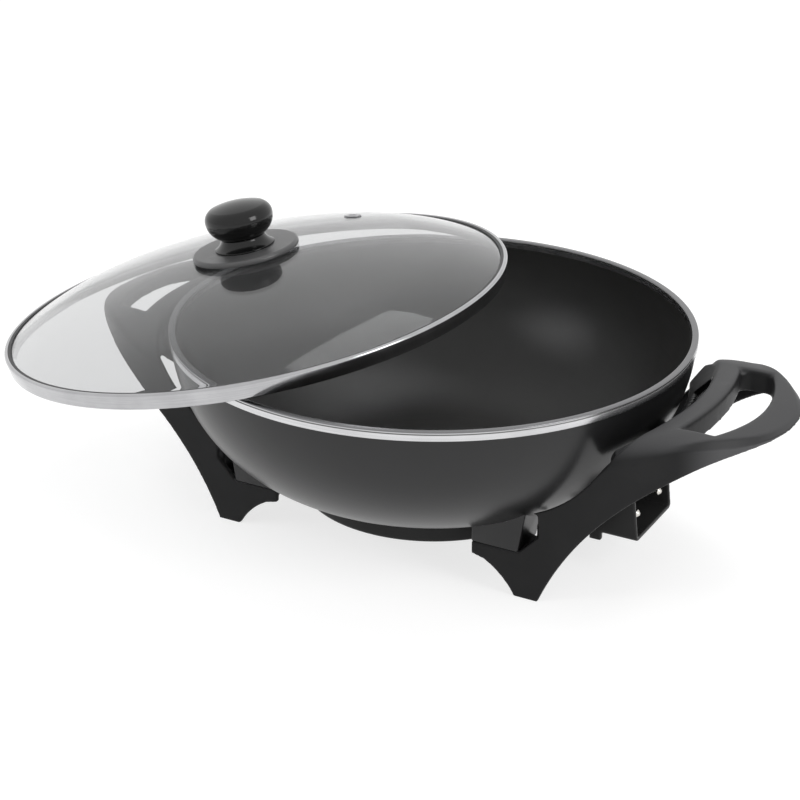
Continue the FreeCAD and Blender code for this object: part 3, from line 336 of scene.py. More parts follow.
@dataclass(frozen=True)
class NonStick:
    """Non-stick lining with the faint rings of the turned casting under it."""

    name: str = "bowl_lining"
    colour: Colour = (0.012, 0.0118, 0.0115)
    light: Colour = (0.016, 0.0157, 0.0153)
    fleck: Colour = (0.06, 0.058, 0.055)
    roughness: float = 0.42

    def material(self) -> bpy.types.Material:
        """Return the lining's material: near black, speckled and softly ringed."""
        material, sheet = new_material(self.name)
        rings = Axis().rings(sheet, 700.0, 2.0, 0.5, 0.004)
        place = sheet.place()
        cloud = sheet.noise(place, 12.0, 2.0)
        grain = sheet.noise(place, 1300.0, 2.0)
        flecks = sheet.cells(place, 640.0).ease(0.04, 0.14, 1.0, 0.0)
        colour = sheet.blend(cloud.ease(0.25, 0.8), self.colour, self.light)
        colour = sheet.blend(flecks * 0.15, colour, self.fleck)
        rough = self.roughness + (cloud - 0.5) * 0.04 + (rings - 0.5) * 0.12
        relief = rings * 0.6 + grain * 0.4
        sheet.surface({"Base Color": colour, "Roughness": rough, "Specular IOR Level": 0.45,
                       "Normal": sheet.bump(relief, 0.12, 0.10)})
        return material


@dataclass(frozen=True)
class Moulding:
    """Moulded plastic, from a fine matt texture to a polished face."""

    name: str
    colour: Colour = (0.014, 0.014, 0.0145)
    light: Colour = (0.018, 0.018, 0.0185)
    roughness: float = 0.46
    grain: float = 1500.0
    relief: float = 0.18
    shine: float = 0.15
    # These three paint light into the colour: upward faces paler for light from above, and a paler band
    # on the outer sides, between two distances in millimetres, for light from the floor.
    painted_top_light: float = 1.0
    painted_side_light: float = 1.7
    painted_side_band: Point = (203.0, 228.0)

    def material(self) -> bpy.types.Material:
        """Return the plastic's material: tool texture, slow change of tone at random, and painted light
        on the handle's top faces and outer sides.
        """
        material, sheet = new_material(self.name)
        place = sheet.place()
        cloud = sheet.noise(place, 28.0, 3.0)
        texture = sheet.noise(place, self.grain, 3.0, 0.6)
        handling = sheet.noise(place, 95.0, 3.0).ease(0.55, 0.72)
        colour = sheet.blend(cloud.ease(0.3, 0.75), self.colour, self.light)
        # Painted light: paler top faces and a paler band on the outer sides.
        if self.painted_top_light > 1.0:
            colour = self.paint_light(sheet, place, colour)
        rough = self.roughness + (cloud - 0.5) * 0.08 + (texture - 0.5) * 0.10 - handling * 0.04
        sheet.surface({"Base Color": colour, "Roughness": rough, "Specular IOR Level": self.shine,
                       "Normal": sheet.bump(texture, self.relief, 0.12)})
        return material

    def paint_light(self, sheet: NodeSheet, place: Channel, colour: Channel) -> Channel:
        """Return the colour with painted light: paler on upward faces for light from above, and paler on
        the outer sides for light thrown back from the floor.

        Args:
            sheet: The material's node tree.
            place: Object coordinates in metres.
            colour: The plastic's own colour.

        Returns:
            The colour with its painted light.
        """
        x, y, _ = sheet.split(place)
        across, along, up = sheet.split(sheet.value("ShaderNodeNewGeometry", output="Normal"))
        radius = (x * x + y * y) ** 0.5
        outward = (across * x + along * y) / radius
        start, full = (limit * MM for limit in self.painted_side_band)
        # Mask of the painted side band: outward faces far along the handle, where light from the floor
        # catches.
        side = ((x * x) ** 0.5).ease(start, full) * outward.ease(0.0, 0.35)
        painted_top_colour = tuple(self.painted_top_light * part for part in self.light)
        painted_side_band = tuple(self.painted_side_light * part for part in painted_top_colour)
        # Painted light: upward faces take the paler colour, then the side band takes the palest where it
        # does not face up.
        with_painted_top = sheet.blend(up.ease(0.4, 0.95), colour, painted_top_colour)
        return sheet.blend(side * (1 - up.ease(0.2, 0.7)), with_painted_top, painted_side_band)


@dataclass(frozen=True)
class TurnedMetal:
    """Bare or plated metal with fine marks that run round an axis."""

    name: str
    colour: Colour = (0.78, 0.78, 0.79)
    shade: Colour = (0.60, 0.60, 0.61)
    roughness: float = 0.24
    marks: float = 2600.0
    relief: float = 0.10
    axis: Axis = field(default_factory=Axis)

    def material(self) -> bpy.types.Material:
        """Return the metal's material: bright, with fine rings and light handling marks."""
        material, sheet = new_material(self.name)
        rings = self.axis.rings(sheet, self.marks, 3.0, 0.65, 0.002)
        stain = sheet.noise(sheet.place(), 55.0, 3.0)
        colour = sheet.blend((rings * 0.6 + stain * 0.4).ease(0.3, 0.7), self.shade, self.colour)
        rough = self.roughness + (rings - 0.5) * 0.16 + (stain - 0.5) * 0.08
        sheet.surface({"Base Color": colour, "Roughness": rough, "Metallic": 1.0,
                       "Normal": sheet.bump(rings, self.relief, 0.04)})
        return material


@dataclass(frozen=True)
class RimMetal:
    """Machined rim of the casting: turned marks, with painted shade in the groove round it and on the
    ring above it.

    The groove's two heights, the blur of its edges and the start of the ring of painted shade above it
    are in millimetres.
    """

    groove: Point
    name: str = "bowl_rim_metal"
    colour: Colour = (0.66, 0.66, 0.67)
    shade: Colour = (0.52, 0.52, 0.53)
    # ring and seat are painted shade: darker metal on the ring above the groove and on the groove's seat.
    ring: Colour = (0.20, 0.20, 0.205)
    seat: Colour = (0.24, 0.24, 0.24)
    roughness: float = 0.24
    blur: float = 0.15
    painted_shade_ring_start: Point = (0.3, 0.8)

    def material(self) -> bpy.types.Material:
        """Return the rim's material, with painted shade on the seat in the groove and on the ring above
        it.
        """
        material, sheet = new_material(self.name)
        rings = Axis().rings(sheet, 1500.0, 3.0, 0.65, 0.002)
        stain = sheet.noise(sheet.place(), 40.0, 3.0)
        _, height, _ = Axis().section(sheet)
        low, high = self.groove
        start, full = (high + rise for rise in self.painted_shade_ring_start)
        above = height.ease((low - self.blur) * MM, low * MM)
        # inside is the mask of the painted shade on the groove's seat.
        inside = above * height.ease(high * MM, (high + self.blur) * MM, 1.0, 0.0)
        metal = sheet.blend((rings * 0.6 + stain * 0.4).ease(0.3, 0.7), self.shade, self.colour)
        # Painted shade: the metal darkens on the ring above the groove and on the rim's top.
        metal = sheet.blend(height.ease(start * MM, full * MM), metal, self.ring)
        rough = self.roughness + (rings - 0.5) * 0.14 + inside * 0.2
        # Painted shade: the groove's seat takes the dark seat colour.
        sheet.surface({"Base Color": sheet.blend(inside, metal, self.seat), "Roughness": rough,
                       "Metallic": 1.0, "Normal": sheet.bump(rings, 0.10, 0.04)})
        return material


@dataclass(frozen=True)
class PlainMetal:
    """Sheet, wire or screw metal with a fine grain in no direction."""

    name: str
    colour: Colour = (0.55, 0.55, 0.56)
    shade: Colour = (0.32, 0.32, 0.33)
    roughness: float = 0.34
    tarnish: float = 0.35

    def material(self) -> bpy.types.Material:
        """Return the metal's material with tarnish in slow patches."""
        material, sheet = new_material(self.name)
        place = sheet.place()
        patch = sheet.noise(place, 140.0, 4.0)
        grain = sheet.noise(place, 2400.0, 2.0)
        colour = sheet.blend(patch.ease(0.38, 0.66) * self.tarnish, self.colour, self.shade)
        rough = self.roughness + (patch - 0.5) * 0.14 + (grain - 0.5) * 0.10
        sheet.surface({"Base Color": colour, "Roughness": rough, "Metallic": 1.0,
                       "Normal": sheet.bump(grain, 0.10, 0.05)})
        return material


@dataclass(frozen=True)
class Ceramic:
    """Glazed white ceramic of the terminal bushes."""

    name: str = "bush_glaze"
    colour: Colour = (0.72, 0.70, 0.65)
    speck: Colour = (0.40, 0.36, 0.30)

    def material(self) -> bpy.types.Material:
        """Return the glaze's material with faint specks."""
        material, sheet = new_material(self.name)
        place = sheet.place()
        specks = sheet.cells(place, 900.0).ease(0.05, 0.2, 1.0, 0.0)
        cloud = sheet.noise(place, 200.0, 3.0)
        colour = sheet.blend(specks * 0.3, self.colour, self.speck)
        sheet.surface({"Base Color": colour, "Roughness": 0.30 + (cloud - 0.5) * 0.1,
                       "Normal": sheet.bump(cloud, 0.1, 0.05)})
        return material


@dataclass(frozen=True)
class ClearGlass:
    """Tempered glass of the lid, clear with a grey cast."""

    name: str = "lid_glass_clear"
    colour: Colour = (0.615, 0.62, 0.625)
    veil: Colour = (0.70, 0.70, 0.71)
    haze: float = 0.022

    def material(self) -> bpy.types.Material:
        """Return the glass's material, with the faint unevenness and haze of pressed glass."""
        material, sheet = new_material(self.name)
        place = sheet.place()
        wave = sheet.noise(place, 9.0, 1.0)
        smear = sheet.noise(place, 46.0, 3.0).ease(0.55, 0.8)
        deeper = tuple(0.97 * part for part in self.colour)
        clear = sheet.value("ShaderNodeBsdfPrincipled", values={
            "Base Color": sheet.blend(wave.ease(0.3, 0.7), self.colour, deeper),
            "Roughness": 0.012 + smear * 0.02, "IOR": 1.45,
            "Transmission Weight": 1.0, "Normal": sheet.bump(wave, 0.05, 0.3)})
        sheet.output(sheet.mix(self.haze + smear * 0.015, clear, sheet.diffuse(self.veil)))
        return material


@dataclass(frozen=True)
class Floor:
    """White studio floor that shows as the background and keeps the object's shadow."""

    name: str = "studio_floor"
    colour: Colour = (0.80, 0.80, 0.80)
    shaded: Colour = (0.36, 0.36, 0.36)
    shown: float = 0.74

    def material(self) -> bpy.types.Material:
        """Return the floor's material: part lit, part self-lit where it is looked at."""
        material, sheet = new_material(self.name)
        glow = sheet.value("ShaderNodeEmission", values={"Color": WHITE, "Strength": self.shown})
        both = sheet.value("ShaderNodeAddShader", values={0: sheet.diffuse(self.shaded), 1: glow})
        sheet.output(sheet.mix(rays_that_look(sheet), sheet.diffuse(self.colour), both))
        return material


def rays_that_look(sheet: NodeSheet) -> Channel:
    """Tell the rays that look at a thing from those that light it.

    Args:
        sheet: The sheet of the material or world.

    Returns:
        One for camera, glossy and transmission rays, and nothing for the rest.
    """
    path = sheet.node("ShaderNodeLightPath")
    kinds = ("Is Camera Ray", "Is Glossy Ray", "Is Transmission Ray")
    camera, glossy, through = (Channel(sheet, path.outputs[kind]) for kind in kinds)
    return camera.largest(glossy).largest(through)


# --- modelling bench --------------------------------------------------------------


def arc(centre: Point, radius: float, start: float, stop: float, steps: int) -> list[Corner]:
    """Return the points of an arc as corners without rounding.

    Args:
        centre: Centre of the arc.
        radius: Radius of the arc.
        start: Heading of the first point in degrees.
        stop: Heading of the last point in degrees.
        steps: Number of pieces that the arc is cut into.

    Returns:
        The points from start to stop.
    """
    corners = []
    for index in range(steps + 1):
        angle = math.radians(start + (stop - start) * index / steps)
        corners.append((centre[0] + radius * math.cos(angle), centre[1] + radius * math.sin(angle), 0.0))
    return corners


def bow(start: Point, stop: Point, radius: float, steps: int) -> list[Corner]:
    """Return the points after the first of an arc between two points.

    Args:
        start: First point.
        stop: Last point.
        radius: Radius of the arc; a positive one bows to the right of the way.
        steps: Number of pieces that the arc is cut into.

    Returns:
        The points as corners without rounding.
    """
    first, last = Vector(start), Vector(stop)
    half = (last - first) / 2
    right = Vector((half.y, -half.x)).normalized()
    depth = math.copysign(math.sqrt(radius * radius - half.length_squared), radius)
    centre = first + half - right * depth
    corners = []
    for index in range(1, steps + 1):
        spoke = (first - centre).normalized().slerp((last - centre).normalized(), index / steps)
        spot = centre + spoke * abs(radius)
        corners.append((spot.x, spot.y, 0.0))
    return corners


def soften(corners: Sequence[Corner], closed: bool = False, steps: int = 4) -> list[Point]:
    """Return an outline whose corners are rounded by their own radii.

    Args:
        corners: Points with the radius that rounds each of them.
        closed: Whether the last point runs back to the first.
        steps: Number of pieces in each rounding.

    Returns:
        The points of the rounded outline; a closed one ends where it starts.
    """
    points: list[Point] = []
    count = len(corners)
    for index, (x, y, radius) in enumerate(corners):
        ends = not closed and index in (0, count - 1)
        if radius <= 0 or ends:
            points.append((x, y))
            continue
        here = Vector((x, y))
        into = (here - Vector(corners[index - 1][:2])).normalized()
        out = (Vector(corners[(index + 1) % count][:2]) - here).normalized()
        turn = into.angle(out)
        setback = radius * math.tan(turn / 2)
        start = here - into * setback
        stop = here + out * setback
        inward = (out - into).normalized()
        centre = here + inward * (radius / math.cos(turn / 2))
        for step in range(steps + 1):
            share = step / steps
            spoke = (start - centre).lerp(stop - centre, share).normalized()
            spot = centre + spoke * radius
            points.append((spot.x, spot.y))
    if closed:
        points.append(points[0])
    return points


class Bench:
    """The steps by which every piece is modelled; sizes are in millimetres."""

    DOUBLED = 0.004
    BAR_SIDES = 48
    SHARP = math.radians(30)

    @staticmethod
    def clear() -> None:
        """Deselect every object."""
        bpy.ops.object.select_all(action="DESELECT")

    @staticmethod
    def hold(piece: bpy.types.Object) -> None:
        """Make one piece the selected and active object."""
        Bench.clear()
        piece.select_set(True)
        bpy.context.view_layer.objects.active = piece

    @staticmethod
    def named(name: str) -> bpy.types.Object:
        """Name the active object, and put its place, turn and scale into its mesh."""
        piece = bpy.context.active_object
        piece.name = name
        Bench.settle()
        return piece

    @staticmethod
    def settle() -> None:
        """Put the selected piece's place, turn and scale into its mesh."""
        bpy.ops.object.transform_apply(location=True, rotation=True, scale=True)

    @staticmethod
    def mend(piece: bpy.types.Object) -> None:
        """Merge a piece's doubled vertices and turn every face outward."""
        Bench.hold(piece)
        bpy.ops.object.mode_set(mode="EDIT")
        bpy.ops.mesh.select_all(action="SELECT")
        bpy.ops.mesh.remove_doubles(threshold=Bench.DOUBLED * MM)
        bpy.ops.mesh.normals_make_consistent(inside=False)
        bpy.ops.object.mode_set(mode="OBJECT")

    @staticmethod
    def pick(piece: bpy.types.Object, kind: str, chosen: Callable[[object], bool]) -> None:
        """Open a piece in edit mode with some of its vertices or faces selected.

        Args:
            piece: The piece.
            kind: VERT or FACE.
            chosen: Test of a vertex or face.
        """
        Bench.hold(piece)
        bpy.ops.object.mode_set(mode="EDIT")
        bpy.ops.mesh.select_mode(type=kind)
        bpy.ops.mesh.select_all(action="DESELECT")
        bpy.ops.object.mode_set(mode="OBJECT")
        for part in piece.data.vertices if kind == "VERT" else piece.data.polygons:
            part.select = chosen(part)
        bpy.ops.object.mode_set(mode="EDIT")

    @staticmethod
    def turn(name: str, outline: Sequence[Point], steps: int) -> bpy.types.Object:
        """Draw half a section from one vertex and spin it about the upright axis.

        Args:
            name: Name of the piece.
            outline: Radius and height of each point.
            steps: Number of steps round the axis.

        Returns:
            The turned piece.
        """
        Bench.clear()
        bpy.ops.mesh.primitive_plane_add(size=MM, location=(0, 0, 0))
        piece = bpy.context.active_object
        piece.name = name
        bpy.ops.object.mode_set(mode="EDIT")
        bpy.ops.mesh.select_mode(type="VERT")
        bpy.ops.mesh.merge(type="CENTER")
        start = (outline[0][0] * MM, 0, outline[0][1] * MM)
        bpy.ops.transform.translate(value=start)
        for before, after in zip(outline, outline[1:]):
            step = ((after[0] - before[0]) * MM, 0, (after[1] - before[1]) * MM)
            bpy.ops.mesh.extrude_region_move(TRANSFORM_OT_translate={"value": step})
        bpy.ops.mesh.select_all(action="SELECT")
        bpy.ops.mesh.spin(steps=steps, angle=2 * math.pi, center=(0, 0, 0), axis=(0, 0, 1))
        bpy.ops.object.mode_set(mode="OBJECT")
        Bench.mend(piece)
        return piece

    @staticmethod
    def block(name: str, low: Sequence[float], high: Sequence[float]) -> bpy.types.Object:
        """Add a block between two corners.

        Args:
            name: Name of the piece.
            low: Lowest corner.
            high: Highest corner.

        Returns:
            The block, its place in its mesh.
        """
        Bench.clear()
        middle = [(a + b) / 2 * MM for a, b in zip(low, high)]
        size = [(b - a) * MM for a, b in zip(low, high)]
        bpy.ops.mesh.primitive_cube_add(size=1, location=middle, scale=size)
        return Bench.named(name)

    @staticmethod
    def bar(name: str, start: Sequence[float], stop: Sequence[float],
            radius: float) -> bpy.types.Object:
        """Add a round bar from one point to another.

        Args:
            name: Name of the piece.
            start: Middle of the first end.
            stop: Middle of the last end.
            radius: Radius of the bar.

        Returns:
            The bar, its place in its mesh.
        """
        Bench.clear()
        run = Vector(stop) - Vector(start)
        middle = (Vector(start) + Vector(stop)) / 2
        turn = run.to_track_quat("Z", "Y").to_euler()
        bpy.ops.mesh.primitive_cylinder_add(vertices=Bench.BAR_SIDES, radius=radius * MM,
                                            depth=run.length * MM, location=middle * MM, rotation=turn)
        return Bench.named(name)

    @staticmethod
    def shift(piece: bpy.types.Object, where: Callable[[Vector], bool], move: Sequence[float]) -> None:
        """Move the vertices that a test picks.

        Args:
            piece: The piece.
            where: Test of a place in millimetres.
            move: How far they move.
        """
        Bench.pick(piece, "VERT", lambda vertex: where(vertex.co / MM))
        bpy.ops.transform.translate(value=[part * MM for part in move])
        bpy.ops.object.mode_set(mode="OBJECT")

    @staticmethod
    def modify(piece: bpy.types.Object, kind: str, settings: dict[str, object]) -> None:
        """Add a modifier, set it up and apply it.

        Args:
            piece: The piece.
            kind: Blender's name of the modifier's type.
            settings: Properties of the modifier.
        """
        Bench.hold(piece)
        modifier = piece.modifiers.new(kind.lower(), kind)
        for name, setting in settings.items():
            setattr(modifier, name, setting)
        bpy.ops.object.modifier_apply(modifier=modifier.name)

    @staticmethod
    def bevel(piece: bpy.types.Object, width: float, segments: int) -> None:
        """Round every sharp edge."""
        Bench.modify(piece, "BEVEL", {"width": width * MM, "segments": segments,
                                      "limit_method": "ANGLE", "angle_limit": Bench.SHARP})

    @staticmethod
    def cut(piece: bpy.types.Object, tool: bpy.types.Object) -> None:
        """Cut a piece with a tool and remove the tool."""
        Bench.modify(piece, "BOOLEAN", {"object": tool, "operation": "DIFFERENCE", "solver": "EXACT"})
        bpy.data.objects.remove(tool)

    @staticmethod
    def join(pieces: Sequence[bpy.types.Object]) -> bpy.types.Object:
        """Join pieces into the first one.

        Args:
            pieces: The pieces.

        Returns:
            The first piece.
        """
        Bench.hold(pieces[0])
        for piece in pieces[1:]:
            piece.select_set(True)
        bpy.ops.object.join()
        return pieces[0]

    @staticmethod
    def copy(piece: bpy.types.Object, name: str) -> bpy.types.Object:
        """Copy a piece with a mesh of its own.

        Args:
            piece: The piece.
            name: Name of the copy.

        Returns:
            The copy, selected and active.
        """
        Bench.hold(piece)
        bpy.ops.object.duplicate(linked=False)
        made = bpy.context.active_object
        made.name = name
        return made

    @staticmethod
    def move(piece: bpy.types.Object, matrix: Matrix) -> None:
        """Carry a piece by a matrix and leave its place in its mesh."""
        Bench.hold(piece)
        piece.matrix_world = matrix
        Bench.settle()

    @staticmethod
    def smooth(piece: bpy.types.Object, angle: float) -> None:
        """Shade a piece smooth but for edges sharper than an angle in degrees."""
        Bench.hold(piece)
        bpy.ops.object.shade_smooth_by_angle(angle=math.radians(angle))

    @staticmethod
    def paint(piece: bpy.types.Object, material: bpy.types.Material,
              where: Callable[[Vector, Vector], bool] | None = None) -> None:
        """Give a material to a piece, or to the faces that a test picks.

        Args:
            piece: The piece.
            material: Its material.
            where: Test of a face's middle in millimetres and its normal; None takes every face.
        """
        if where is None:
            piece.data.materials.clear()
            piece.data.materials.append(material)
            return
        piece.data.materials.append(material)
        piece.active_material_index = len(piece.data.materials) - 1
        Bench.pick(piece, "FACE", lambda face: where(face.center / MM, face.normal))
        bpy.ops.object.material_slot_assign()
        bpy.ops.object.mode_set(mode="OBJECT")

    @staticmethod
    def take(node: str, name: str) -> bpy.types.Object:
        """Copy a node's solid as a closed mesh to work on.

        Args:
            node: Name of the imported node.
            name: Name of the copy.

        Returns:
            The copy, without parent or material.
        """
        piece = Bench.copy(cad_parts[node], name)
        piece.parent = None
        piece.data.materials.clear()
        Bench.mend(piece)
        return piece


def finish(piece: bpy.types.Object, body: Body, node: str) -> None:
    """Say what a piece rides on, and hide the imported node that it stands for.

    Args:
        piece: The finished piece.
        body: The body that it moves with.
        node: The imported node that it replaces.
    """
    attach(piece, body.value)
    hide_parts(node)
    LOG.info("%-24s %7d faces, rides on %s", piece.name, len(piece.data.polygons), body.value)


# --- bowl -------------------------------------------------------------------------


@dataclass
class Bowl:
    """Cast bowl with its lugs, probe boss and rim bosses."""

    rim_radius: float = 175.0
    rim_height: float = 138.2
    band_height: float = 6.0
    groove: Point = (136.2, 136.9)
    groove_depth: float = 0.45
    wall_arc: float = 105.5
    cavity_arc: float = 101.9
    arc_centre: float = 68.7
    lug_inner: float = 73.0
    lug_outer: float = 105.7
    lug_lean: float = 5.4
    lug_bottom: float = 31.6
    lug_top: float = 64.0
    lug_sides: Point = (56.5, 85.0)
    rim_boss: Point = (156.0, 170.5)
    rim_boss_radius: float = 7.0
    boss_height: float = 93.5
    probe_boss: Point = (70.0, 126.5)
    probe_boss_radius: float = 6.5
    probe_height: float = 36.0
    rib_inner: float = 100.0
    rib_half: float = 2.5
    rib_top: float = 52.6
    lug_round: float = 1.2
    boss_round: float = 0.6
    probe_round: float = 0.5
    rim_margin: Point = (0.35, 0.2)
    lining_margin: float = 1.0
    edge_angle: float = 35.0
    arc_steps: int = 44
    steps: int = 224
    room_arc_steps: int = 32
    room_steps: int = 96

    def outline(self) -> list[Point]:
        """Return half the bowl's section, from the middle of its underside to that of its floor."""
        centre = (self.arc_centre, self.rim_height)
        foot = math.degrees(math.asin(-self.band_height / self.wall_arc))
        outside = arc(centre, self.wall_arc, -90, foot, self.arc_steps)
        inside = arc(centre, self.cavity_arc, -1, -90, self.arc_steps)
        low = self.rim_height - self.band_height
        seat = self.rim_radius - self.groove_depth
        band = [(self.rim_radius, low, 0.35), (self.rim_radius, self.groove[0], 0.15),
                (seat, self.groove[0] + 0.1, 0.1), (seat, self.groove[1] - 0.1, 0.1),
                (self.rim_radius, self.groove[1], 0.15), (self.rim_radius, self.rim_height, 0.5),
                (self.arc_centre + self.cavity_arc, self.rim_height, 0.9)]
        bottom = (0.0, self.rim_height - self.wall_arc, 0.0)
        floor = (0.0, self.rim_height - self.cavity_arc, 0.0)
        return soften([bottom, *outside, *band, *inside, floor])

    def lug(self) -> bpy.types.Object:
        """Return the lug of the right rear leg."""
        low = (self.lug_inner, self.lug_sides[0], self.lug_bottom)
        high = (self.lug_outer, self.lug_sides[1], self.lug_top)
        lug = Bench.block("lug", low, high)
        middle = (self.lug_bottom + self.lug_top) / 2
        near = self.lug_outer - 1
        Bench.shift(lug, lambda spot: spot.x > near and spot.z > middle, (self.lug_lean, 0, 0))
        Bench.bevel(lug, self.lug_round, 3)
        return lug

    def bosses(self) -> list[bpy.types.Object]:
        """Return the lugs, the rim bosses, the probe's boss and its rib."""
        parts = [self.lug()]
        for end, side in ((1, -1), (-1, 1), (-1, -1)):
            lug = Bench.copy(parts[0], "lug_copy")
            bpy.ops.transform.mirror(orient_type="GLOBAL", constraint_axis=(end < 0, side < 0, False))
            Bench.settle()
            parts.append(lug)
        for end in (1, -1):
            root, face = ((end * reach, 0, self.boss_height) for reach in self.rim_boss)
            boss = Bench.bar("rim_boss", root, face, self.rim_boss_radius)
            Bench.bevel(boss, self.boss_round, 2)
            parts.append(boss)
        root, face = ((reach, 0, self.probe_height) for reach in self.probe_boss)
        probe = Bench.bar("probe_boss", root, face, self.probe_boss_radius)
        Bench.bevel(probe, self.probe_round, 2)
        rib = Bench.block("probe_rib", (self.rib_inner, -self.rib_half, self.probe_height),
                          (self.probe_boss[1], self.rib_half, self.rib_top))
        Bench.bevel(rib, self.boss_round, 2)
        return [*parts, probe, rib]

    def room(self) -> bpy.types.Object:
        """Return the space that the casting leaves free, cut back to the middle of its wall."""
        centre = (self.arc_centre, self.rim_height)
        middle = (self.wall_arc + self.cavity_arc) / 2
        floor = (0.0, self.rim_height - middle, 0.0)
        mouth = (0.0, self.rim_height, 0.0)
        wall = arc(centre, middle, -90, 0, self.room_arc_steps)
        return Bench.turn("room", soften([floor, *wall, mouth]), self.room_steps)

    def build(self) -> bpy.types.Object:
        """Return the bowl with everything that is cast onto it."""
        bowl = Bench.turn("bowl_casting", self.outline(), self.steps)
        Bench.smooth(bowl, self.edge_angle)
        parts = []
        for part in self.bosses():
            Bench.mend(part)
            Bench.cut(part, self.room())
            Bench.smooth(part, self.edge_angle)
            parts.append(part)
        return Bench.join([bowl, *parts])

    def dress(self, bowl: bpy.types.Object) -> None:
        """Give the bowl its coat, its lining and its bare rim.

        Args:
            bowl: The finished casting.
        """
        inner = self.arc_centre + self.cavity_arc - self.rim_margin[0]
        low = self.rim_height - self.band_height - self.rim_margin[1]
        deep = self.cavity_arc + self.lining_margin
        centre = Vector((self.arc_centre, self.rim_height))

        def is_rim(spot: Vector, normal: Vector) -> bool:
            """Tell whether a face lies on the bare band round the rim."""
            return math.hypot(spot.x, spot.y) > inner and spot.z > low

        def is_lining(spot: Vector, normal: Vector) -> bool:
            """Tell whether a face lies inside the bowl, below its rim."""
            radius = math.hypot(spot.x, spot.y)
            if radius < self.arc_centre:
                return spot.z > self.rim_height - deep
            reach = (Vector((radius, spot.z)) - centre).length
            return reach < deep and not is_rim(spot, normal)

        Bench.paint(bowl, Casting().material())
        Bench.paint(bowl, NonStick().material(), is_lining)
        Bench.paint(bowl, RimMetal(self.groove).material(), is_rim)
        finish(bowl, Body.WOK, "wok_bowl")


# --- handles and legs -------------------------------------------------------------


def between(steps: Sequence[Point], place: float) -> float:
    """Return the value at a place, on straight lines between steps and flat beyond them.

    Args:
        steps: Places with their values, in rising order.
        place: The place in question.

    Returns:
        The value there.
    """
    if place <= steps[0][0]:
        return steps[0][1]
    for (low, first), (high, second) in zip(steps, steps[1:]):
        if place <= high:
            return first + (second - first) * (place - low) / (high - low)
    return steps[-1][1]


def rounding(depth: float, radius: float) -> float:
    """Return how far a rounded edge falls at a depth inside it."""
    short = radius - min(max(depth, 0.0), radius)
    return radius - math.sqrt(radius * radius - short * short)


